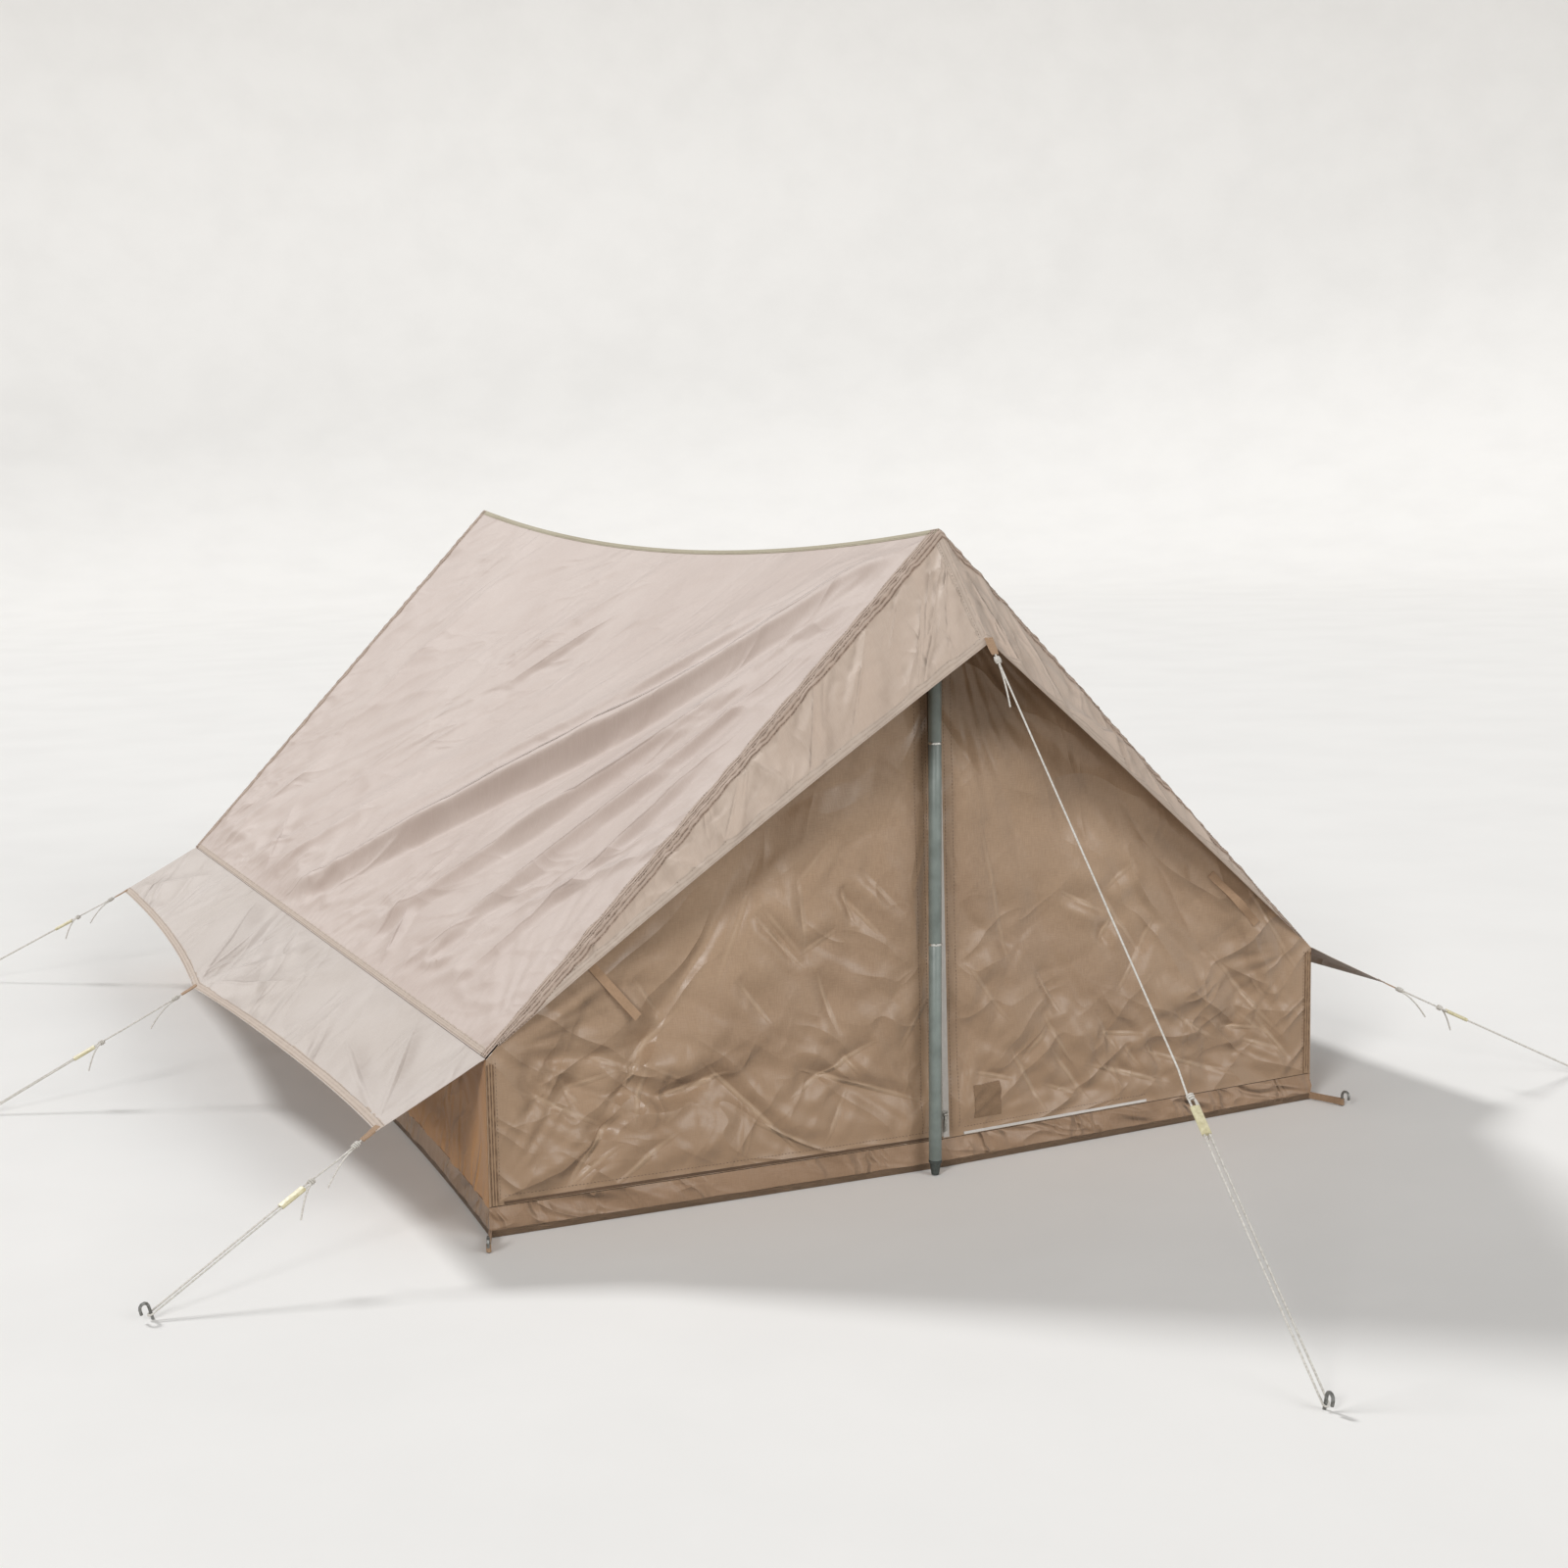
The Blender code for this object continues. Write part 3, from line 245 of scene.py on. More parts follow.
def srgb(code):
    """A colour written as sRGB hex, as the linear values that a shader takes."""
    parts = [int(code[i : i + 2], 16) / 255 for i in (1, 3, 5)]
    return [p / 12.92 if p <= 0.04045 else ((p + 0.055) / 1.055) ** 2.4 for p in parts] + [1.0]


def set_inputs(node, inputs):
    """Sets a shader node's inputs, each by name or number: to a value, or linked from a socket or from the
    first output of another node."""
    for name, value in inputs.items():
        if isinstance(value, bpy.types.Node):
            value = value.outputs[0]
        if isinstance(value, bpy.types.NodeSocket):
            node.id_data.links.new(value, node.inputs[name])
        else:
            node.inputs[name].default_value = value


def add_node(tree, kind, inputs=None, **settings):
    """Adds a shader node with its inputs and settings."""
    node = tree.nodes.new("ShaderNode" + kind)
    for name, value in settings.items():
        setattr(node, name, value)
    set_inputs(node, inputs or {})
    return node


def start_material(name):
    """A new material, its shader tree and its texture coordinates."""
    material = bpy.data.materials.new(name)
    material.use_nodes = True
    tree = material.node_tree
    return material, tree, add_node(tree, "TexCoord").outputs


def packed_creases(tree, place, creases, bump):
    """Lays the sharp lines of cloth that was packed over a bump. A row is a turn, a length, a distance apart
    and a depth: its lines run where a stretched noise crosses its middle, and come and go over the cloth."""
    for turn, long, short, deep in creases:
        moved = {"Vector": place, "Rotation": (0, 0, turn), "Location": (deep * 900, turn, 0)}
        turned = add_node(tree, "Mapping", moved)
        scaled = add_node(tree, "Mapping", {"Vector": turned, "Scale": (1 / long, 1 / short, 1)})
        noise = {"Vector": scaled, "Scale": 1.0, "Detail": 1.2, "Roughness": 0.4, "Distortion": 0.5}
        waves = add_node(tree, "TexNoise", noise, noise_dimensions="2D")
        middle = add_node(tree, "Math", {0: waves, 1: 0.5}, operation="SUBTRACT")
        sharp = add_node(tree, "Math", {0: middle}, operation="ABSOLUTE")
        patches = {"Vector": scaled, "Scale": 0.37, "Detail": 0.0}
        patchy = add_node(tree, "TexNoise", patches, noise_dimensions="2D")
        share = add_node(tree, "MapRange", {0: patchy, 1: 0.42, 2: 0.62, 3: 0.1, 4: 1.0})
        level = add_node(tree, "Math", {0: sharp, 1: share}, operation="MULTIPLY")
        bump = add_node(tree, "Bump", {"Height": level, "Strength": 1.0, "Distance": -deep, "Normal": bump})
    return bump


def crest_lines(tree, place, folds):
    """The sharp crests of pulled folds as one height: a long thin cone is laid along each fold."""
    height = 0.0
    for (a0, b0), (a1, b1), rise, right_width, left_width in folds:
        thin = 0.0035 + 0.14 * min(right_width, left_width)
        cone = {"Vector": place, "Location": ((a0 + a1) / 2, (b0 + b1) / 2, 0)}
        cone["Rotation"] = (0, 0, math.atan2(b1 - b0, a1 - a0))
        cone["Scale"] = (0.55 * math.hypot(a1 - a0, b1 - b0), thin, 1)
        on_line = add_node(tree, "Mapping", cone, vector_type="TEXTURE")
        crest = add_node(tree, "TexGradient", {0: on_line}, gradient_type="SPHERICAL")
        raised = {0: crest.outputs[1], 1: 0.24 * rise, 2: height}
        height = add_node(tree, "Math", raised, operation="MULTIPLY_ADD")
    return height


# Slubs to a metre along X, Y and Z. Cotton threads 0.4 mm apart are too fine to show, so a slub is drawn
# about as wide as three of them, and 17 to 20 mm long.
WARP_SLUBS = (60, 900, 60)
WEFT_SLUBS = (700, 50, 700)


def cloth_material(name, colour, shade, roughness, creases=(), folds=(), low_shade=None, worn=None):
    """Woven cloth: slubs along warp and weft and a soft wandering of the dye give the eye its weave. Cloth
    with creases has its UV in metres. low_shade is the colour that it darkens to towards the ground, and
    worn is the paler colour painted along the crests of its folds: a painted highlight, and rubbed wear too."""
    material, tree, coordinates = start_material(name)
    place = coordinates["UV" if creases else "Object"]
    wander = add_node(tree, "TexNoise", {"Vector": place, "Scale": 3.0, "Detail": 3.0})
    warp_place = add_node(tree, "Mapping", {"Vector": place, "Scale": WARP_SLUBS})
    weft_place = add_node(tree, "Mapping", {"Vector": place, "Scale": WEFT_SLUBS})
    warp = add_node(tree, "TexNoise", {"Vector": warp_place, "Scale": 1.0, "Detail": 2.0})
    weft = add_node(tree, "TexNoise", {"Vector": weft_place, "Scale": 1.0, "Detail": 2.0})
    weave = add_node(tree, "Math", {0: warp, 1: weft}, operation="ADD")
    slub = add_node(tree, "MapRange", {0: weave, 1: 0.75, 2: 1.25, 3: 0.0, 4: 0.45})
    dye = add_node(tree, "MapRange", {0: wander, 1: 0.35, 2: 0.65, 3: 0.0, 4: 0.55})
    depth = add_node(tree, "Math", {0: slub, 1: dye}, operation="ADD")
    tint = add_node(tree, "Mix", {0: depth, 6: srgb(colour), 7: srgb(shade)}, data_type="RGBA").outputs[2]
    # Darker towards the ground.
    if low_shade:
        height = add_node(tree, "SeparateXYZ", {0: coordinates["Object"]}).outputs[2]
        ragged = add_node(tree, "Math", {0: wander, 1: 0.30, 2: height}, operation="MULTIPLY_ADD")
        low_darkening = add_node(tree, "MapRange", {0: ragged, 1: 0.52, 2: 0.20, 3: 0.0, 4: 0.8})
        tint = add_node(tree, "Mix", {0: low_darkening, 6: tint, 7: srgb(low_shade)}, data_type="RGBA").outputs[2]
    bump = add_node(tree, "Bump", {"Height": weave, "Strength": 0.35, "Distance": 0.0005})
    bump = packed_creases(tree, place, creases, bump)
    if folds:
        crest = crest_lines(tree, place, folds)
        bump = add_node(tree, "Bump", {"Height": crest, "Strength": 1.0, "Distance": 1.0, "Normal": bump})
    # The fold crests are painted paler: a painted highlight, which also stands for rubbed wear.
    if worn:
        crest_highlight = add_node(tree, "MapRange", {0: crest, 1: 0.0002, 2: 0.0014, 3: 0.0, 4: 0.5})
        tint = add_node(tree, "Mix", {0: crest_highlight, 6: tint, 7: srgb(worn)}, data_type="RGBA").outputs[2]
    finish = {"Base Color": tint, "Normal": bump, "Roughness": roughness, "Sheen Weight": 0.12}
    set_inputs(tree.nodes["Principled BSDF"], finish)
    return material


def dress(piece, material, body="tent", nodes=()):
    """Gives a piece its material, and fixes it to a body in place of its CAD nodes."""
    piece.data.materials.clear()
    piece.data.materials.append(material)
    if body:
        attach(piece, body)
    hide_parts(*nodes)
    return piece


# The coating closes the weave, so the groundsheet shines more than the cottons and keeps every crease from
# its bag; the webbing of the loops is thick, dull and a little paler.
COATED_CREASES = ((0.25, 0.16, 0.040, 0.030), (1.15, 0.10, 0.035, 0.024))
coated_cloth = cloth_material("coated groundsheet cloth", "#a88b72", "#8e7259", 0.42, COATED_CREASES)
dress(groundsheet, coated_cloth, nodes=["groundsheet"])
webbing_cloth = cloth_material("cotton webbing", "#b7987c", "#977b61", 0.9)
dress(corner_loops, webbing_cloth)

# SIDE WALLS
# The low walls under the eaves, of the same cotton as the ends. Each is gathered a little into the eave seam
# and sewn to the tub's bowed rim, so that it hangs in soft upright pleats.
EAVE_HALF_WIDTH = 0.802
EAVE_HEIGHT = 0.294
SILL_HEIGHT = 0.0507
RIDGE_HEIGHT = 1.100
RIDGE_HALF = 1.230
RIDGE_SAG = 0.066
SLOPE_LENGTH = math.hypot(EAVE_HALF_WIDTH, RIDGE_HEIGHT - EAVE_HEIGHT)
UNDER_ROOF = 0.00115 * SLOPE_LENGTH / EAVE_HALF_WIDTH
CLOTH_THICKNESS = 0.0009
SIDE_PLEATS = 7
PLEAT_DEPTH = 0.0048
SIDE_WRINKLES = ((1.2, 0.16, 0.05, 0.0016, 22),)
SIDE_BILLOWS = ((0.0016, 24, 7, 23),)
TUB_PUCKERS = (0.0020, 55, 12, 24)
SEAM_GAP = 0.0012
EAVE_TUCK = 0.0015
SIDE_CELLS = (220, 28)


def ridge_height(y):
    return RIDGE_HEIGHT - RIDGE_SAG * (1 - np.minimum(np.abs(y) / RIDGE_HALF, 1.0) ** 2)


def roof_height(x, y):
    return ridge_height(y) + (EAVE_HEIGHT - ridge_height(y)) * np.abs(x) / EAVE_HALF_WIDTH


def fade(distance, run):
    """0 at an edge, rising smoothly to 1 at run away from it."""
    share = np.clip(distance / run, 0, 1)
    return share * share * (3 - 2 * share)


def fold_lift(a, b, rows):
    """Lift of the pulled folds. A row is a start, an end, the height, and the half widths to its right and
    left as it runs: a narrow one gives a steep side, and a wide one a soft side."""
    lift = np.zeros_like(a)
    for (a0, b0), (a1, b1), height, right_width, left_width in rows:
        length = math.hypot(a1 - a0, b1 - b0)
        along = ((a - a0) * (a1 - a0) + (b - b0) * (b1 - b0)) / length**2
        across = ((a - a0) * (b1 - b0) - (b - b0) * (a1 - a0)) / length
        across = across + 0.12 * min(right_width, left_width) * np.sin(11 * along + 300 * height)
        part = np.where(across > 0, across / right_width, -across / left_width)
        crest = np.exp(-1.6 * (np.sqrt(part**2 + 0.02) - 0.14)) - 0.30 * np.exp(-(((part - 1.9) / 0.8) ** 2))
        lift += height * np.sin(np.pi * np.clip(along, 0, 1)) ** 0.55 * crest
    return lift


def fan_lift(a, b, at, rays, reach, height, seed):
    """Lift of the wrinkles that fan out from a point where the cloth is held, and die away at reach."""
    away = np.hypot(a - at[0], b - at[1])
    turn = np.arctan2(b - at[1], a - at[0])
    share = away / reach
    return height * smooth_noise(turn * rays, away * 1.3 / reach, seed) * 2.7 * share * np.exp(-share * 1.6)


def crease_lift(a, b, turn, long, short, height, seed):
    """Lift of sharp creases that run along turn, about long by short apart."""
    along = (a * math.cos(turn) + b * math.sin(turn)) / long
    across = (b * math.cos(turn) - a * math.sin(turn)) / short
    bent = across + 0.5 * smooth_noise(along * 1.7, across * 0.6, seed + 7)
    strength = 0.55 + 0.9 * smooth_noise(along * 0.7, across * 0.5, seed + 13)
    ridges = np.exp(-4.5 * np.abs(smooth_noise(along, bent, seed))) - 0.35
    return 2.2 * height * np.maximum(strength, 0.1) * ridges


def billow_lift(a, b, height, per_a, per_b, seed):
    """Lift of soft billows, so many to a metre along a and along b."""
    return height * smooth_noise(a * per_a, b * per_b, seed)


def cloth_lift(a, b, folds=(), fans=(), wrinkles=(), billows=(), seed=0):
    """Lift of a cloth's relief, from a table for each kind; a row is what that kind's function takes."""
    lift = fold_lift(a, b, folds)
    for kind_lift, rows in ((fan_lift, fans), (crease_lift, wrinkles), (billow_lift, billows)):
        for *row, row_seed in rows:
            lift += kind_lift(a, b, *row, row_seed + seed)
    return lift


def cloth_and_twin(name, cells, surface, flat_places):
    """A cloth and its turned twin; flat_places(x, y, z) are its corners' places on the flat cloth."""
    cloth = cloth_grid(name, cells, surface)
    lay_flat(cloth, *flat_places(*vertex_places(cloth).T))
    add_wall(cloth, CLOTH_THICKNESS)
    return cloth, turned_copy(cloth)


def side_wall_point(u, v):
    """The left side wall: u from its front corner to its rear one, v from the eave seam down to the tub."""
    half_length = HALF_LENGTH - SEAM_GAP
    y = (2 * u - 1) * half_length
    bow = SIDE_BOW_IN * (1 - (y / HALF_LENGTH) ** 2)
    top_x = EAVE_HALF_WIDTH - EAVE_TUCK
    top_z = roof_height(np.array(top_x), np.array(RIDGE_HALF)) - UNDER_ROOF - 0.0008
    x = top_x + (FLOOR_HALF_WIDTH - bow - top_x) * v
    z = top_z + (SILL_HEIGHT - 0.002 - top_z) * v
    calm = fade(half_length - np.abs(y), 0.10) * np.sin(np.pi * v) ** 0.8
    sway = 0.4 * smooth_noise(y * 3, z * 3, 21)
    x = x - PLEAT_DEPTH * calm * (1 + np.cos(2 * np.pi * (SIDE_PLEATS * u + sway)))
    edge = fade(half_length - np.abs(y), 0.02) * fade(v, 0.04)
    small = cloth_lift(y, z, wrinkles=SIDE_WRINKLES, billows=SIDE_BILLOWS)
    low = billow_lift(y, z, *TUB_PUCKERS) * fade(v - 0.72, 0.2)
    x = x - edge * (small + low)
    under_roof = roof_height(np.minimum(x, EAVE_HALF_WIDTH), y) - UNDER_ROOF
    return np.stack([-x, y, np.minimum(z, under_roof)], 1)


# Plain woven cotton, painted a little more orange than the ends as painted light: the warm glow of light
# through the thin cloth under the flap.
SIDE_CREASES = ((1.2, 0.20, 0.060, 0.030), (0.5, 0.14, 0.050, 0.020))
side_cotton = cloth_material("tan side wall cotton", "#c09060", "#b5875c", 0.6, SIDE_CREASES)
side_walls = cloth_and_twin("left_side_cloth", SIDE_CELLS, side_wall_point, lambda x, y, z: (y, z))
for piece, word in zip(side_walls, ("left", "right")):
    dress(piece, side_cotton, nodes=[word + "_side_wall"])

# END WALLS
# Each end is two cloths that meet in the middle: a sewn seam from the ridge down to the zip's top, and the
# zip below it. The lower part of each cloth is the door: it folds inwards on a line from the zip's top down
# to the floor's corner.
WALL_LEAN = 0.020
HEAD_HEIGHT = 0.085
WALL_CELLS = (150, 180)
CENTRE_GAP = 0.0010
WALL_FOLDS = {
    -1: (
        ((0.18, 0.80), (0.62, 0.14), 0.012, 0.050, 0.110),
        ((0.31, 0.58), (0.42, 0.32), 0.004, 0.014, 0.040),
        ((0.32, 0.49), (0.25, 0.40), 0.006, 0.016, 0.034),
        ((0.25, 0.40), (0.18, 0.44), 0.005, 0.014, 0.024),
        ((0.25, 0.55), (0.24, 0.38), 0.005, 0.020, 0.012),
        ((0.18, 0.60), (0.26, 0.51), 0.004, 0.012, 0.024),
        ((0.43, 0.24), (0.27, 0.07), 0.009, 0.012, 0.050),
        ((0.28, 0.16), (0.12, 0.24), 0.008, 0.030, 0.014),
        ((0.27, 0.21), (0.03, 0.12), 0.008, 0.014, 0.034),
        ((0.17, 0.16), (0.22, 0.07), 0.005, 0.012, 0.022),
        ((0.08, 0.21), (0.01, 0.32), 0.004, 0.020, 0.014),
        ((0.67, 0.07), (0.58, 0.17), 0.009, 0.016, 0.030),
        ((0.58, 0.12), (0.68, 0.06), 0.006, 0.012, 0.022),
        ((0.76, 0.24), (0.60, 0.15), 0.006, 0.024, 0.016),
        ((0.78, 0.27), (0.44, 0.28), 0.010, 0.060, 0.024),
        ((0.77, 0.24), (0.40, 0.17), 0.008, 0.040, 0.020),
        ((0.58, 0.23), (0.46, 0.33), 0.006, 0.034, 0.018),
        ((0.35, 0.13), (0.22, 0.06), 0.007, 0.016, 0.034),
        ((0.48, 0.13), (0.60, 0.05), 0.007, 0.016, 0.030),
        ((0.10, 0.84), (0.13, 0.50), 0.004, 0.030, 0.050),
    ),
    1: (
        ((0.06, 0.86), (0.30, 0.20), 0.009, 0.080, 0.050),
        ((0.09, 0.60), (0.15, 0.32), 0.005, 0.020, 0.034),
        ((0.33, 0.46), (0.43, 0.32), 0.007, 0.014, 0.034),
        ((0.43, 0.34), (0.37, 0.26), 0.006, 0.024, 0.014),
        ((0.36, 0.66), (0.66, 0.16), 0.011, 0.030, 0.070),
        ((0.58, 0.31), (0.74, 0.13), 0.007, 0.014, 0.030),
        ((0.21, 0.25), (0.27, 0.15), 0.006, 0.014, 0.026),
        ((0.22, 0.19), (0.31, 0.07), 0.007, 0.014, 0.030),
        ((0.14, 0.20), (0.22, 0.06), 0.007, 0.016, 0.034),
        ((0.68, 0.18), (0.77, 0.07), 0.006, 0.012, 0.022),
        ((0.30, 0.14), (0.48, 0.08), 0.008, 0.014, 0.034),
        ((0.63, 0.07), (0.42, 0.15), 0.007, 0.026, 0.014),
        ((0.05, 0.36), (0.14, 0.24), 0.005, 0.014, 0.026),
        ((0.62, 0.48), (0.78, 0.24), 0.006, 0.016, 0.030),
        ((0.04, 0.80), (0.03, 0.20), 0.004, 0.016, 0.016),
    ),
}
WALL_FANS = (
    ((0.80, 0.06), 9, 0.30, 0.0065, 0),
    ((0.02, 0.06), 8, 0.22, 0.0050, 1),
    ((0.78, 0.30), 8, 0.22, 0.0045, 2),
    ((0.02, 1.00), 12, 0.35, 0.0040, 3),
)
# A row of these ends with the height at which the wrinkles are gone, and how far below it they are full.
WALL_WRINKLES = ((-0.9, 0.34, 0.12, 0.0026, 4, 0.85, 0.3), (0.35, 0.26, 0.09, 0.0018, 5, 0.50, 0.2))
WALL_BILLOWS = ((0.0008, 26, 26, 6), (0.0115, 5.5, 6.5, 9))
SILL_PUCKERS = (0.0016, 48, 9)
WALL_SLACK = 1.3
CREASE_COUNT = 16


def short_creases(seed):
    """Short sharp creases over the lower part of an end wall, at random places; a row is as in WALL_FOLDS."""
    rng = np.random.default_rng(seed)
    rows = []
    for _ in range(CREASE_COUNT):
        x, z, turn = rng.uniform(0.06, 0.66), rng.uniform(0.09, 0.46), rng.uniform(-1.3, 1.3)
        z = min(z, 0.10 + 0.9 * (0.74 - x))
        long, high, wide = rng.uniform(0.05, 0.13), rng.uniform(0.004, 0.008), rng.uniform(0.008, 0.016)
        rows.append(((x, z), (x + long * math.cos(turn), z + long * math.sin(turn)), high, wide, 2 * wide))
    return tuple(rows)


for side in (-1, 1):
    WALL_FOLDS[side] += short_creases(7 + side)


def wall_y_at_top(x):
    return -(HALF_LENGTH + WALL_LEAN * (1 - np.abs(x) / EAVE_HALF_WIDTH))


def wall_top(x):
    return roof_height(x, wall_y_at_top(x)) - UNDER_ROOF - 0.0002


APEX_Z = float(wall_top(np.array(0.0)))
ZIP_TOP_Z = APEX_Z - HEAD_HEIGHT


def zip_share(z):
    """How far down the zip a height is: 0 from the zip's top up, 1 at the sill."""
    return np.clip((ZIP_TOP_Z - z) / (ZIP_TOP_Z - SILL_HEIGHT), 0, 1)


def parting_y(z):
    """Where the two doors meet: straight down from the zip's top to the sill's outward bow."""
    return -(HALF_LENGTH + WALL_LEAN) + (WALL_LEAN - SILL_BOW_OUT) * zip_share(z)


def wall_edge_x(z):
    """How far out the end wall reaches at a height: the roof seam above the eave, the corner below it."""
    up = (z - SILL_HEIGHT) / (EAVE_HEIGHT - SILL_HEIGHT)
    low = FLOOR_HALF_WIDTH + (EAVE_HALF_WIDTH - FLOOR_HALF_WIDTH) * up
    return np.minimum(low, EAVE_HALF_WIDTH * (APEX_Z - z) / (APEX_Z - EAVE_HEIGHT + 0.0016))


def wall_face(x, z, side, lift=0.0):
    """A point of the end wall's face at x out from the middle and z up, and lift outwards from it."""
    fold_x = np.maximum(FLOOR_HALF_WIDTH * zip_share(z), 1e-6)
    hinge_y = -(HALF_LENGTH + WALL_LEAN * (1 - zip_share(z)))
    inner_y = parting_y(z) + (hinge_y - parting_y(z)) * np.clip(x / fold_x, 0, 1)
    outer_y = np.minimum(np.minimum(wall_y_at_top(x), hinge_y), -HALF_LENGTH)
    y = np.where(x < fold_x, inner_y, outer_y)
    rim = np.minimum(np.minimum((wall_edge_x(z) - x) * 0.75, x - CENTRE_GAP), (z - SILL_HEIGHT) * 1.2)
    calm = fade(rim - 0.010, 0.055)
    seed = 40 + 10 * side
    sink = cloth_lift(x, z, WALL_FOLDS[side], WALL_FANS, billows=WALL_BILLOWS, seed=seed)
    for *wrinkle, top, run in WALL_WRINKLES:
        sink += cloth_lift(x, z, wrinkles=(wrinkle,), seed=seed) * fade(top - z, run)
    hem = billow_lift(x, z, *SILL_PUCKERS, seed + 8) * fade(0.13 - z, 0.05) * fade(z - SILL_HEIGHT, 0.02)
    return np.stack([side * x, y + WALL_SLACK * calm * sink + hem + 0.001 * fade(rim, 0.01) - lift, z], 1)


def wall_point(u, v, side):
    """Half an end wall: u from the middle out to the roof seam or corner, v from the sill up to the ridge."""
    z = SILL_HEIGHT + (APEX_Z - 0.004 - SILL_HEIGHT) * v
    return wall_face(CENTRE_GAP + (wall_edge_x(z) - CENTRE_GAP) * u, z, side)


# The same cotton, pulled tight and creased: it is painted paler along the crests of its short sharp folds,
# a painted highlight that also stands for rubbed wear, it darkens towards the ground, and its proofing gives
# it a soft shine that shows every fold.
LONGEST_SHARP = 0.33
WALL_CREASES = ((0.75, 0.26, 0.110, 0.032), (-0.55, 0.20, 0.090, 0.026), (1.35, 0.13, 0.060, 0.008))
WALL_COLOURS = ("#b4997f", "#977c64")
WALL_LOW_COLOUR = "#a1856b"
WALL_CREST_HIGHLIGHT = "#c3ab91"
WALL_ROUGHNESS = 0.33
end_walls = {}
for side, word in ((-1, "left"), (1, "right")):
    cloths = cloth_and_twin(
        f"front_{word}_end_cloth",
        WALL_CELLS,
        lambda u, v: wall_point(u, v, side),
        lambda x, y, z: (side * x, z),
    )
    sharp_folds = [fold for fold in WALL_FOLDS[side] if math.dist(fold[0], fold[1]) < LONGEST_SHARP]
    relief = (WALL_ROUGHNESS, WALL_CREASES, sharp_folds)
    wall_cotton = cloth_material(f"tan {word} wall cotton", *WALL_COLOURS, *relief, WALL_LOW_COLOUR, WALL_CREST_HIGHLIGHT)
    end_walls["front", word] = cloths[0], wall_cotton
    end_walls["rear", swap_names(word)] = cloths[1], wall_cotton

for (end, word), (piece, wall_cotton) in end_walls.items():
    leaf, gusset = f"{end}_{word}_door_leaf", f"{end}_{word}_gusset"
    dress(piece, wall_cotton, body=None, nodes=[gusset, leaf])
    side, facing = (-1 if word == "left" else 1), (1 if end == "front" else -1)
    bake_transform(piece)

# ROOF
# Two panels of proofed cotton, pulled out between the ridge, the end seams and the eaves. The ridge sags
# between the poles, so the cloth is slack along it and hangs in long folds that run from the front of the
# ridge down to the rear of the eave, with small puckers all along the sewn edges.
ROOF_CELLS = (300, 150)
ROOF_FOLDS = (
    ((-1.26, -0.02), (0.34, 1.15), 0.033, 0.170, 0.028),
    ((-1.12, 0.05), (0.10, 0.84), 0.010, 0.050, 0.016),
    ((-1.14, 0.14), (-0.30, 1.06), 0.016, 0.080, 0.024),
    ((-1.14, 0.24), (-0.62, 1.05), 0.013, 0.060, 0.020),
    ((-1.13, 0.42), (-0.86, 1.06), 0.010, 0.040, 0.016),
    ((-1.04, 0.02), (-0.52, 0.48), 0.006, 0.034, 0.020),
    ((-0.88, 0.16), (-0.62, 0.30), 0.006, 0.014, 0.030),
    ((-0.10, 0.18), (0.16, 0.44), 0.008, 0.034, 0.012),
    ((-0.16, 0.02), (0.34, 0.42), 0.007, 0.060, 0.040),
    ((-0.68, 0.64), (-0.54, 0.79), 0.008, 0.016, 0.030),
    ((-0.37, 0.80), (-0.34, 1.12), 0.009, 0.030, 0.022),
    ((-0.50, 1.12), (-0.38, 0.98), 0.008, 0.018, 0.030),
    ((-0.18, 0.76), (0.12, 1.10), 0.008, 0.050, 0.026),
    ((0.16, 0.72), (0.52, 1.12), 0.008, 0.060, 0.034),
    ((0.52, 1.10), (0.74, 0.92), 0.006, 0.022, 0.030),
    ((0.70, 0.10), (0.92, 0.80), 0.008, 0.100, 0.070),
    ((0.98, 1.10), (0.80, 0.72), 0.007, 0.034, 0.050),
    ((-0.96, 0.72), (-0.78, 1.00), 0.006, 0.016, 0.022),
    ((-0.72, 0.94), (-0.58, 1.10), 0.007, 0.018, 0.026),
)
ROOF_FANS = (
    ((-1.22, 0.0), 14, 0.45, 0.0050, 61),
    ((-1.17, 1.13), 10, 0.35, 0.0060, 62),
    ((1.17, 1.13), 9, 0.35, 0.0050, 63),
    ((0.0, 1.15), 9, 0.28, 0.0040, 64),
)
ROOF_WRINKLES = ((0.64, 0.90, 0.13, 0.0026, 65), (0.45, 0.40, 0.12, 0.0016, 72))
ROOF_FRONT_WRINKLES = (0.90, 0.36, 0.08, 0.0016, 66)
EAVE_WRINKLES = (0.5, 0.13, 0.055, 0.0050, 69)
ROOF_BILLOWS = ((0.0060, 2.0, 2.4, 67), (0.0006, 30, 22, 68))
END_PUCKERS = (0.0030, 1 / 0.034, 1 / 0.09, 70)
EAVE_PUCKER = 0.0012
ROOF_NORMAL = np.array([-(RIDGE_HEIGHT - EAVE_HEIGHT), 0, EAVE_HALF_WIDTH]) / SLOPE_LENGTH
EAVE_PUCKER_PITCH = 0.030


def seam_y(x):
    """The front seam leans out towards the ridge."""
    return -(RIDGE_HALF + (HALF_LENGTH - RIDGE_HALF) * np.abs(x) / EAVE_HALF_WIDTH)


def stitch_pucker(along, across, pitch, height, seed):
    """The even small puckers that a sewing machine leaves beside a seam, one to a pitch."""
    return height * np.sin(along * 2 * np.pi / pitch + 3 * smooth_noise(along * 9, across * 9, seed))


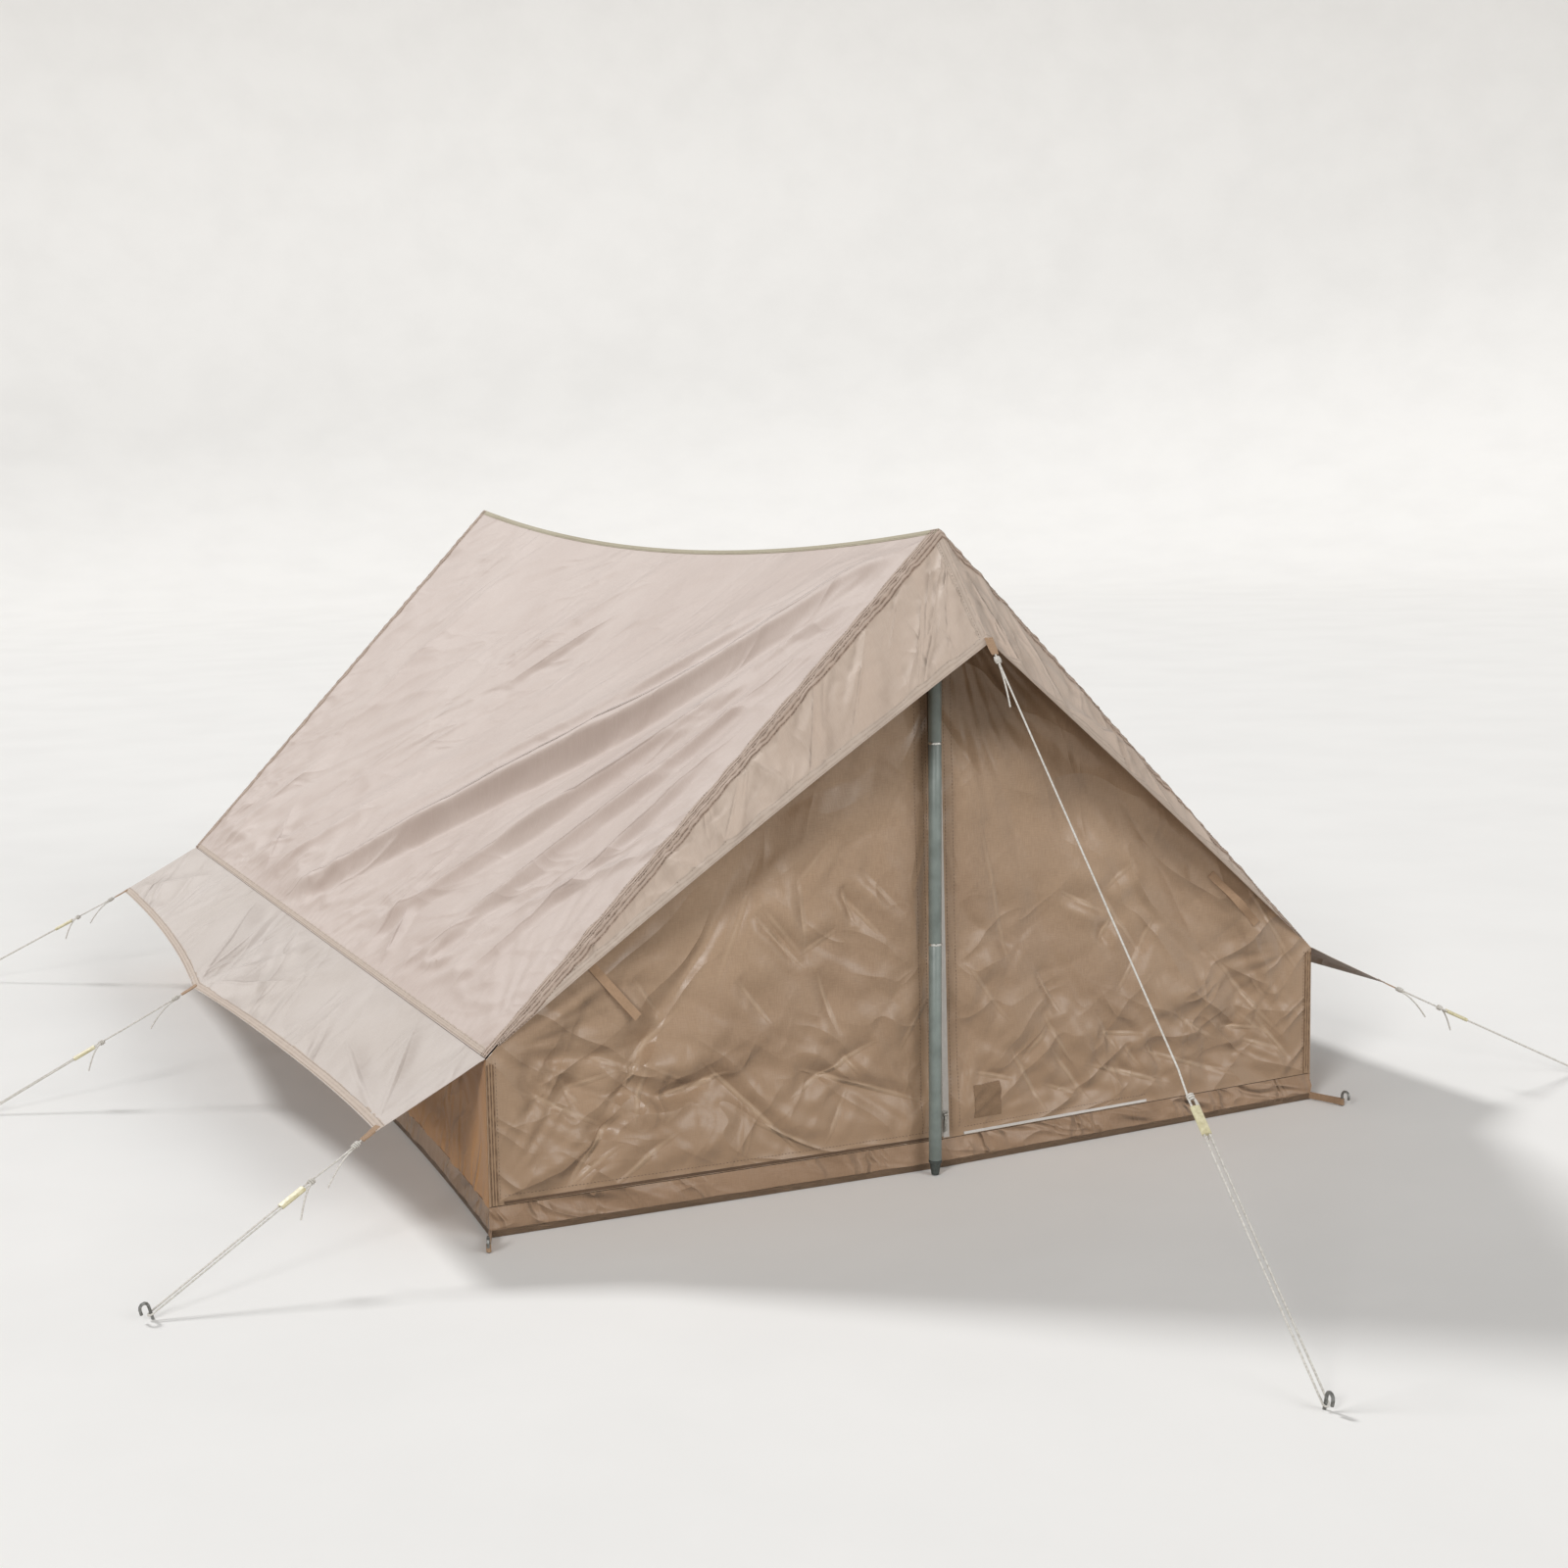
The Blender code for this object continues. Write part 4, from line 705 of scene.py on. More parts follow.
def roof_point(u, v, lift=0.0):
    """The left panel: u from the front seam to the rear one, v from the ridge down to the eave."""
    x = 0.0010 + (EAVE_HALF_WIDTH - 0.0020) * v
    half_length = -seam_y(x) - 0.0004
    y = (2 * u - 1) * half_length
    slope = v * SLOPE_LENGTH
    above_eave = SLOPE_LENGTH - slope
    ends = half_length - np.abs(y)
    edge = np.minimum(ends, np.minimum(slope, above_eave))
    rise = cloth_lift(y, slope, ROOF_FOLDS, ROOF_FANS, ROOF_WRINKLES, ROOF_BILLOWS)
    rise += crease_lift(y, slope, *ROOF_FRONT_WRINKLES) * fade(-y - 0.2, 0.6)
    rise += crease_lift(y, slope, *EAVE_WRINKLES) * fade(0.22 - above_eave, 0.14)
    pucker_end = billow_lift(slope, ends, *END_PUCKERS) * fade(0.085 - ends, 0.05)
    pucker_eave = stitch_pucker(y, slope, EAVE_PUCKER_PITCH, EAVE_PUCKER, 71) * fade(0.070 - above_eave, 0.05)
    pucker = fade(edge - 0.003, 0.012) * (pucker_end * fade(ends, 0.02) + pucker_eave)
    rise = fade(edge - 0.012, 0.080) * rise + pucker
    points = np.stack([-x, y, roof_height(x, y)], 1)
    return points + ROOF_NORMAL * (rise + lift)[:, None]


def roof_flat(x, y, z):
    """How far along the roof and down its slope a place is."""
    return y, -x * SLOPE_LENGTH / EAVE_HALF_WIDTH


# Heavier proofed cotton, bleached paler than the walls by the sun: matt, and streaked along its creases.
ROOF_CREASES = ((-0.62, 0.80, 0.150, 0.026), (-0.95, 0.26, 0.075, 0.010), (-0.30, 0.20, 0.060, 0.006))
roof_cotton = cloth_material("proofed roof cotton", "#c8b8af", "#bba89e", 0.60, ROOF_CREASES, ROOF_FOLDS)
roof_panels = cloth_and_twin("left_roof_cloth", ROOF_CELLS, roof_point, roof_flat)
for piece, word in zip(roof_panels, ("left", "right")):
    dress(piece, roof_cotton, nodes=[word + "_roof_panel"])

# EAVE FLAPS
# A single cloth sewn into the eave seam and guyed out at its two corners and its middle, with a double hem
# along the hollow free edge, so that it throws the rain clear of the side wall.
FLAP_REACH_AT_ENDS = 0.180
FLAP_REACH_AT_MIDDLE = 0.237
FLAP_DROP = 0.092
FLAP_SCALLOP = 0.020
FLAP_CELLS = (200, 20)


def flap_edge(share):
    """The flap's free edge, hollowed between its three ties; share runs from -1 to 1 along it."""
    part = np.abs(share)
    reach = FLAP_REACH_AT_MIDDLE + (FLAP_REACH_AT_ENDS - FLAP_REACH_AT_MIDDLE) * part
    reach = reach - FLAP_SCALLOP * 4 * part * (1 - part)
    drop = np.full_like(part, EAVE_HEIGHT - FLAP_DROP)
    return np.stack([-(EAVE_HALF_WIDTH + reach), share * HALF_LENGTH, drop], -1)


FLAP_FOLDS = (
    ((0.00, 0.225), (0.40, 0.02), 0.011, 0.030, 0.060),
    ((0.00, 0.225), (-0.13, 0.02), 0.011, 0.050, 0.022),
    ((-0.03, 0.215), (-0.27, 0.10), 0.008, 0.022, 0.036),
    ((0.03, 0.215), (0.22, 0.03), 0.007, 0.018, 0.030),
    ((-1.15, 0.17), (-0.86, 0.02), 0.008, 0.022, 0.040),
    ((-1.12, 0.17), (-0.72, 0.11), 0.006, 0.018, 0.030),
    ((1.15, 0.17), (0.84, 0.03), 0.008, 0.040, 0.022),
    ((-0.52, 0.02), (-0.60, 0.19), 0.005, 0.014, 0.024),
    ((0.62, 0.02), (0.70, 0.17), 0.005, 0.020, 0.014),
)
FLAP_FANS = (
    ((-1.16, 0.19), 7, 0.30, 0.0060, 81),
    ((0.0, 0.24), 8, 0.26, 0.0060, 82),
    ((1.16, 0.19), 7, 0.30, 0.0050, 83),
)
FLAP_WRINKLES = ((2.5, 0.25, 0.07, 0.0022, 84),)
FLAP_BILLOWS = ((0.0030, 5, 5, 85),)
FLAP_SAG = 0.006
FLAP_NORMAL = np.array([-FLAP_DROP, 0, FLAP_REACH_AT_MIDDLE]) / math.hypot(FLAP_DROP, FLAP_REACH_AT_MIDDLE)


def flap_point(u, v, lift=0.0):
    """The left flap: u from its front corner to its rear one, v from the eave seam out to the free edge."""
    outer = flap_edge(2 * u - 1)
    inner = outer.copy()
    inner[:, 0] = -(EAVE_HALF_WIDTH - SEAM_GAP)
    inner[:, 2] = EAVE_HEIGHT - SEAM_GAP / 2
    points = inner + (outer - inner) * v[:, None]
    y, out = points[:, 1], -points[:, 0] - EAVE_HALF_WIDTH
    reach = -outer[:, 0] - EAVE_HALF_WIDTH
    ends = HALF_LENGTH - np.abs(y)
    rise = cloth_lift(y, out, FLAP_FOLDS, FLAP_FANS, FLAP_WRINKLES, FLAP_BILLOWS)
    sag = -FLAP_SAG * np.sin(np.pi * np.clip(np.abs(2 * u - 1), 0, 1)) ** 2 * v
    pucker = stitch_pucker(y, out, EAVE_PUCKER_PITCH, EAVE_PUCKER, 86) * fade(0.05 - out, 0.04)
    calm = fade(out, 0.05) * fade(reach - out, 0.03) * fade(ends, 0.03)
    rise = calm * rise + pucker * fade(out, 0.008) + sag * fade(out, 0.1)
    return points + FLAP_NORMAL * (rise + lift)[:, None]


# The roof's cotton again, painted greyer than the roof's as painted light for the sky that it lies flatter
# under.
FLAP_CREASES = ((0.55, 0.30, 0.080, 0.020), (1.20, 0.16, 0.055, 0.010))
flap_cotton = cloth_material("proofed flap cotton", "#c4b9b2", "#b7aaa0", 0.60, FLAP_CREASES, FLAP_FOLDS)
flaps = cloth_and_twin("left_flap_cloth", FLAP_CELLS, flap_point, lambda x, y, z: (y, -x - EAVE_HALF_WIDTH))
for piece, word in zip(flaps, ("left", "right")):
    dress(piece, flap_cotton, nodes=[word + "_eave_flap"])

# PORCH HOODS
# Two cloths sewn along the hood's own short ridge and into the end seam. The free edge has a double hem and
# is hollow between the point, where the end guy line pulls it out, and the eave corners.
HOOD_REACH = 0.165
HOOD_DROP = 0.178
HOOD_SCALLOP = 0.009
HOOD_END = 1 - 0.022 / EAVE_HALF_WIDTH
HOOD_CELLS = (260, 26)
HOOD_PUCKER_PITCH = 0.024
HOOD_PUCKER = 0.0010
HOOD_SWELL = 1.5
PRESSED_DEPTH = 0.0022
PRESSED_PITCH = 0.052
HOOD_WRINKLES = ((1.25, 0.16, 0.055, 0.0026, 91), (0.5, 0.20, 0.06, 0.0016, 92))
HOOD_FAN = ((0.0, 0.17), 9, 0.25, 0.0040, 93)
HOOD_BILLOWS = ((0.0018, 9, 9, 94),)
HOOD_FOLDS = (
    ((-0.004, 0.02), (-0.09, 0.22), 0.006, 0.014, 0.026),
    ((-0.08, 0.07), (-0.16, 0.20), 0.005, 0.012, 0.022),
    ((-0.20, 0.02), (-0.31, 0.16), 0.006, 0.026, 0.014),
    ((-0.33, 0.01), (-0.40, 0.14), 0.006, 0.014, 0.026),
    ((-0.50, 0.01), (-0.44, 0.12), 0.006, 0.024, 0.014),
    ((-0.52, 0.02), (-0.60, 0.10), 0.005, 0.014, 0.024),
    ((-0.71, 0.01), (-0.66, 0.08), 0.004, 0.020, 0.012),
    ((0.03, 0.04), (0.10, 0.21), 0.006, 0.022, 0.014),
    ((0.16, 0.02), (0.26, 0.17), 0.006, 0.014, 0.026),
    ((0.38, 0.01), (0.33, 0.13), 0.005, 0.024, 0.014),
    ((0.54, 0.01), (0.62, 0.10), 0.005, 0.014, 0.022),
    ((0.27, 0.155), (0.52, 0.055), 0.008, 0.016, 0.030),
    ((0.44, 0.01), (0.48, 0.11), 0.005, 0.022, 0.014),
    ((0.70, 0.005), (0.80, 0.070), 0.004, 0.014, 0.022),
)


def hood_point(u, v, lift=0.0):
    """The front hood: u from its left end over its point to its right end, v from seam to free edge."""
    across = (2 * u - 1) * HOOD_END
    share = np.abs(across)
    x = share * EAVE_HALF_WIDTH
    seam = np.stack([x, seam_y(x), RIDGE_HEIGHT + (EAVE_HEIGHT - RIDGE_HEIGHT) * share], 1)
    apex = np.array([0, -(RIDGE_HALF + HOOD_REACH), RIDGE_HEIGHT - HOOD_DROP])
    corner = np.array([EAVE_HALF_WIDTH, -HALF_LENGTH, EAVE_HEIGHT])
    free = apex + (corner - apex) * share[:, None]
    drop = np.linalg.norm(free - seam, axis=1)
    rise = (seam - free) / np.maximum(drop, 1e-6)[:, None]
    free = free + rise * np.minimum(HOOD_SCALLOP * 4 * share * (1 - share), drop / 2)[:, None]
    depth = np.linalg.norm(free - seam, axis=1)
    start = 0.0004 / np.maximum(depth, 1e-6)
    points = seam + (free - seam) * (start + (1 - start) * v)[:, None]
    down = depth * v
    along = x * SLOPE_LENGTH / EAVE_HALF_WIDTH
    signed = np.sign(across) * along
    folds = cloth_lift(signed, down, HOOD_FOLDS, wrinkles=HOOD_WRINKLES, billows=HOOD_BILLOWS)
    folds += fan_lift(along, down, *HOOD_FAN)
    near_point = fade(0.20 - along, 0.08) * fade(along, 0.012)
    pressed = PRESSED_DEPTH * np.cos(np.pi * signed / PRESSED_PITCH) * near_point
    pucker = stitch_pucker(along, down, HOOD_PUCKER_PITCH, HOOD_PUCKER, 95) * fade(0.035 - down, 0.03)
    calm = fade(down, 0.02) * fade(depth - down, 0.018) * fade(along, 0.02) * fade(depth, 0.05)
    swell = HOOD_SWELL * calm * (folds + pressed) + pucker * fade(down, 0.006) * fade(depth, 0.05)
    out = np.cross(free - seam, corner - np.array([0, -RIDGE_HALF, RIDGE_HEIGHT]))
    out /= np.maximum(np.linalg.norm(out, axis=1), 1e-9)[:, None]
    points = points + out * np.sign(out[:, 2:3] + 1e-9) * (swell + lift)[:, None]
    points[:, 0] *= np.where(across < 0, -1, 1)
    return points


def hood_flat(x, y, z):
    """How far along the hood's seam and down from it a place is."""
    return x * SLOPE_LENGTH / EAVE_HALF_WIDTH, np.hypot(y - seam_y(x), z - roof_height(x, RIDGE_HALF))


# The roof's cotton again, painted a little warmer and paler than the roof's as painted light for the shade of
# the porch; it is creased from being handled most.
HOOD_CREASES = ((0.95, 0.20, 0.060, 0.018), (1.60, 0.14, 0.045, 0.010))
hood_cotton = cloth_material("proofed hood cotton", "#cebdaf", "#c1ad9d", 0.60, HOOD_CREASES, HOOD_FOLDS)
hoods = cloth_and_twin("front_hood_cloth", HOOD_CELLS, hood_point, hood_flat)
for piece, end in zip(hoods, ("front", "rear")):
    dress(piece, hood_cotton, nodes=[end + "_hood"])

# SEAMS AND HEMS
# The flat-felled end and eave seams, the tape bound over the ridge and the double hems of the free edges,
# each a narrow strip on the cloth with its rows of lockstitch.
SEAM_LIFT = 0.0008
END_SEAM = 0.022
HOOD_SEAM = 0.021
EAVE_SEAM = 0.014
HEM = 0.018
SEAM_PUCKER = 0.0016
HEM_PUCKER = 0.0004
RIDGE_TAPE_HALF = 0.013
STITCH_PITCH = 0.0062
THREAD_RADIUS = 0.0006


def strip_on(name, surface, one_side, other_side, cells, proud=HEM_PUCKER):
    """A narrow strip on a surface between two lines, each a function from 0..1 to (u, v), and puckered by up
    to proud."""

    def strip_point(s, t):
        (u0, v0), (u1, v1) = one_side(s), other_side(s)
        rounded = SEAM_LIFT * (1 - 0.6 * np.abs(2 * t - 1) ** 6)
        pucker = proud * (0.8 + smooth_noise(s * cells[0] / 2.6, t * 1.4, 103)) * (1 - (2 * t - 1) ** 4)
        lift = rounded + pucker * fade(np.minimum(s, 1 - s), 0.02)
        return surface(u0 + (u1 - u0) * t, v0 + (v1 - v0) * t, lift)

    piece = cloth_grid(name, cells, strip_point)
    return add_wall(piece, 0.0005, -1)


def stitch_row(surface, line, lift=SEAM_LIFT + 0.0002):
    """One row of lockstitch: short beads of thread, one to a stitch, sunk a little into the cloth."""
    path = surface(*line(np.linspace(0, 1, 900)), lift)
    steps = np.concatenate([[0], np.cumsum(np.linalg.norm(np.diff(path, axis=0), axis=1))])
    count = max(int(steps[-1] / STITCH_PITCH), 2)
    middles = (np.arange(count) + 0.5) * steps[-1] / count
    half_bead = STITCH_PITCH * 0.36

    def places(at):
        return np.stack([np.interp(at, steps, path[:, axis]) for axis in range(3)], 1)

    tail, middle, nose = places(middles - half_bead), places(middles), places(middles + half_bead)
    along = (nose - tail) / np.linalg.norm(nose - tail, axis=1)[:, None]
    beside = np.cross(along, np.array([0.31, 0.22, 0.92]))
    beside *= THREAD_RADIUS / np.linalg.norm(beside, axis=1)[:, None]
    above = np.cross(beside, along)
    rings = [middle + offset for offset in (beside, above, -beside, -above)]
    points = np.stack([tail, *rings, nose], 1).reshape(-1, 3)
    faces = []
    for first in range(0, 6 * count, 6):
        for k in range(4):
            here, there = first + 1 + k, first + 1 + (k + 1) % 4
            faces += [(first, there, here), (first + 5, here, there)]
    return add_mesh("stitches", points, faces)


def edge_line(surface, inset, sewn=False):
    """The line at inset metres from a surface's free edge, at v = 1, or from its sewn one, at v = 0."""

    def line(s):
        depth = np.linalg.norm(surface(s, 0 * s + 1) - surface(s, 0 * s), axis=1)
        share = np.minimum(inset / np.maximum(depth, 1e-6), 1)
        return s, share if sewn else 1 - share

    return line


def end_line(inset, rear=False):
    """The line down the roof at inset metres from its front seam, or from its rear one."""

    def line(s):
        share = inset / (2 * (HALF_LENGTH + (RIDGE_HALF - HALF_LENGTH) * (1 - s)))
        return (1 - share if rear else share), s

    return line


def tape_point(u, v, lift=0.0):
    """The tape bound over the ridge: u along it from the front, v across it from left to right."""
    x = (2 * v - 1) * RIDGE_TAPE_HALF * EAVE_HALF_WIDTH / SLOPE_LENGTH
    y = (2 * u - 1) * (RIDGE_HALF - 0.0006)
    round_over = 0.0012 * np.exp(-((x / 0.003) ** 2))
    wave = 0.0007 * smooth_noise(y * 40, x * 200, 101) * np.abs(2 * v - 1)
    return np.stack([x, y, roof_height(x, y) + 0.0014 + (lift + wave) * 1.3 - round_over], 1)


def eave_line(inset):
    """The line along the roof at inset metres up from its eave."""
    return lambda s: (s, 1 - inset / SLOPE_LENGTH + 0 * s)


def hood_ridge_line(offset):
    """The line down beside the hood's short ridge."""
    return lambda s: (0.5 + offset + 0 * s, 0.01 + 0.98 * s)


hood_seam_sides = (edge_line(hood_point, 0.0, True), edge_line(hood_point, HOOD_SEAM, True))
end_strips = [
    strip_on("end_seam", roof_point, end_line(0.0003), end_line(END_SEAM), (240, 8), SEAM_PUCKER),
    strip_on("end_seam", roof_point, end_line(END_SEAM, True), end_line(0.0003, True), (240, 8), SEAM_PUCKER),
    strip_on("hood_seam", hood_point, *hood_seam_sides, (460, 8), SEAM_PUCKER),
]
hem_strips = [
    strip_on("eave_seam", roof_point, eave_line(EAVE_SEAM), lambda s: (s, 0.9995 + 0 * s), (500, 5)),
    strip_on("flap_hem", flap_point, edge_line(flap_point, HEM), edge_line(flap_point, 0.0), (420, 5)),
    strip_on("hood_ridge_seam", hood_point, hood_ridge_line(-0.0085), hood_ridge_line(0.0), (40, 5)),
    strip_on("hood_hem", hood_point, edge_line(hood_point, HEM), edge_line(hood_point, 0.0), (460, 5)),
]
front_strips = join_pieces(end_strips, "front_left_end_seams")
front_hems = join_pieces(hem_strips, "front_left_hems")
ridge_tape = add_wall(cloth_grid("ridge_tape_cloth", (400, 12), tape_point), 0.0007)

FELLED_LIFT = SEAM_LIFT + 0.0011
thread_rows = []
for inset in (0.003, 0.011, 0.019):
    thread_rows.append(stitch_row(roof_point, end_line(inset), FELLED_LIFT))
    thread_rows.append(stitch_row(roof_point, end_line(inset, True), FELLED_LIFT))
    thread_rows.append(stitch_row(hood_point, edge_line(hood_point, inset, True), FELLED_LIFT))
for inset in (0.003, 0.011):
    thread_rows.append(stitch_row(roof_point, eave_line(inset)))
for inset in (0.003, 0.015):
    thread_rows.append(stitch_row(flap_point, edge_line(flap_point, inset)))
    thread_rows.append(stitch_row(hood_point, edge_line(hood_point, inset)))
thread_rows.append(stitch_row(hood_point, hood_ridge_line(-0.006)))
thread_rows.append(stitch_row(tape_point, lambda s: (s, 0.09 + 0 * s), 0.0005))
stitching = join_pieces(thread_rows, "front_left_stitching")


def seam_material(name, colour, shade, row_shadow_and_thread, axis=1, deep=0.0014):
    """Doubled cloth of a sewn seam: the stitching draws it in along three rows, drawn as soft broken dark
    lines that paint the shadow in its puckers along with the thread's colour, and the cloth between them
    swells.
    axis is the one of the UV that goes across it."""
    material, tree, coordinates = start_material(name)
    noise = add_node(tree, "TexNoise", {"Vector": coordinates["Object"], "Scale": 90.0, "Detail": 3.0})
    across = add_node(tree, "SeparateXYZ", {0: coordinates["UV"]}).outputs[axis]
    moved = add_node(tree, "Math", {0: across, 1: 0.12}, operation="SUBTRACT")
    off_row = add_node(tree, "Math", {0: moved, 1: 0.19}, operation="PINGPONG")
    row = add_node(tree, "MapRange", {0: off_row, 1: 0.02, 2: 0.11, 3: 1.0, 4: 0.0})
    broken = add_node(tree, "MapRange", {0: noise, 1: 0.35, 2: 0.6, 3: 0.45, 4: 1.0})
    # The dark rows are painted shadow in the stitch puckers, mixed with the thread's colour.
    dark = add_node(tree, "Math", {0: row, 1: broken}, operation="MULTIPLY")
    cloth = add_node(tree, "Mix", {0: noise, 6: srgb(colour), 7: srgb(shade)}, data_type="RGBA").outputs[2]
    tint = add_node(tree, "Mix", {0: dark, 6: cloth, 7: srgb(row_shadow_and_thread)}, data_type="RGBA").outputs[2]
    groove = add_node(tree, "Bump", {"Height": dark, "Strength": 1.0, "Distance": -deep})
    finish = {"Base Color": tint, "Normal": groove, "Roughness": 0.75}
    set_inputs(tree.nodes["Principled BSDF"], finish)
    return material


# Four layers of the roof's cotton make a felled seam, a little darker than the cloth, and its stitch rows are
# drawn dark as painted shadow in the puckers, with the thread's colour; a hem is paler and flatter, its rows
# fainter. The ridge tape is close-woven and olive grey.
felled_cotton = seam_material("felled roof cotton", "#c3b0a2", "#b29e8f", "#907a6b")
hemmed_cotton = seam_material("hemmed roof cotton", "#cabbae", "#bcab9d", "#b5a496", deep=0.0003)
tape_cotton = cloth_material("cotton ridge tape", "#bcb49e", "#a69c84", 0.92)
dress(ridge_tape, tape_cotton, nodes=["ridge_tape"])


def worn_material(name, colour, worn, roughness, grain, metallic=0.0):
    """The finish of a small thing: its colour wanders towards the worn one in grains of that many metres,
    and its sheen and surface go with it."""
    material, tree, coordinates = start_material(name)
    noise = add_node(tree, "TexNoise", {"Vector": coordinates["Object"], "Scale": 1 / grain, "Detail": 4.0})
    share = add_node(tree, "MapRange", {0: noise, 1: 0.38, 2: 0.68, 3: 0.0, 4: 1.0})
    tint = add_node(tree, "Mix", {0: share, 6: srgb(colour), 7: srgb(worn)}, data_type="RGBA").outputs[2]
    sheen = add_node(tree, "MapRange", {0: noise, 3: roughness - 0.08, 4: roughness + 0.10})
    bump = add_node(tree, "Bump", {"Height": noise, "Strength": 0.25, "Distance": grain * 0.05})
    finish = {"Base Color": tint, "Roughness": sheen, "Normal": bump, "Metallic": metallic}
    set_inputs(tree.nodes["Principled BSDF"], finish)
    return material


# Twisted cotton thread, dull and darker than the cloth that it holds.
thread = worn_material("brown sewing thread", "#857363", "#65554a", 0.85, 0.004)
for piece, finish, slot in (
    (front_strips, felled_cotton, "roof_cloth"),
    (front_hems, hemmed_cotton, "roof_cloth"),
    (stitching, thread, "line_cord"),
):
    twin = turned_copy(piece)
    dress(piece, finish)
    dress(twin, finish)

# ZIPS AND SILL
# A coil zip on woven tapes closes each pair of doors, and a white one the right door's sill; the left door's
# sill has a dark binding. The sewn edges beside them have their rows of stitches, and a plain patch of darker
# cloth is sewn on near the right door's foot.
TAPE_EDGE = 0.0036
TAPE_WIDTH = {-1: 0.0060, 1: 0.0120}
TOOTH = Vector((0.0036, 0.0016, 0.0010))
TOOTH_PITCH = 0.0017
TEETH_OUT = {-1: 0.0022, 1: 0.0024}
TEETH_START_Z = SILL_HEIGHT + 0.004
SILL_ZIP = {-1: (0.02, 0.78), 1: (0.045, 0.43)}
SILL_ZIP_Z = (SILL_HEIGHT + 0.0015, SILL_HEIGHT + 0.0060)
SILL_ROW_Z = 0.0655
DOOR_ROW_FOOT = 0.066
DOOR_ROWS = ((0.0145, 0.985), (0.021, 0.975), (0.036, 0.955))
CORNER_SEAM_X = (FLOOR_HALF_WIDTH - 0.016, FLOOR_HALF_WIDTH - 0.0035)
CORNER_SEAM_Z = (SILL_HEIGHT + 0.001, EAVE_HEIGHT - 0.010)
CORNER_ROWS = (0.786, 0.795)
CORNER_ROW_Z = (0.060, 0.288)
PATCH = ((0.066, 0.120), (0.078, 0.136))


def wall_strip(name, side, x_range, z_range, cells, lift=0.0011, thickness=0.0006):
    """A strip of tape or cloth sewn on the face of an end wall."""

    def strip_point(u, v):
        x = x_range[0] + (x_range[1] - x_range[0]) * u
        return wall_face(x, z_range[0] + (z_range[1] - z_range[0]) * v, side, lift)

    return add_wall(cloth_grid(name, cells, strip_point), thickness)


def wall_stitches(side, start, end):
    """A row of stitches on an end wall between two points, each (out from the middle, up)."""

    def face(u, v, lift):
        return wall_face(u, v, side, lift)

    def line(s):
        return start[0] + (end[0] - start[0]) * s, start[1] + (end[1] - start[1]) * s

    return stitch_row(face, line, 0.0007)


def zip_teeth(name, side):
    """The teeth of one side of the zip: small blocks up the parting line, a little higher at their front.
    Those of the left side stand half a pitch above those of the right one."""
    count = int((ZIP_TOP_Z - TEETH_START_Z) / TOOTH_PITCH)
    heights = TEETH_START_Z + TOOTH_PITCH * (np.arange(count) + (0.25 if side > 0 else 0.75))
    middles = np.stack([np.full(count, side * TEETH_OUT[side]), parting_y(heights) - 0.0004, heights], 1)
    ends = (-0.5, 0.5)
    corners = np.array([(a, b, c) for a in ends for b in ends for c in ends]) * np.array(TOOTH)
    corners[:, 2] += np.where(corners[:, 1] < 0, 0.0004, -0.0002)
    points = (middles[:, None, :] + corners[None, :, :]).reshape(-1, 3)
    quads = ((0, 1, 3, 2), (4, 6, 7, 5), (0, 4, 5, 1), (2, 3, 7, 6), (0, 2, 6, 4), (1, 5, 7, 3))
    return add_mesh(name, points, [[8 * k + i for i in quad] for k in range(count) for quad in quads])


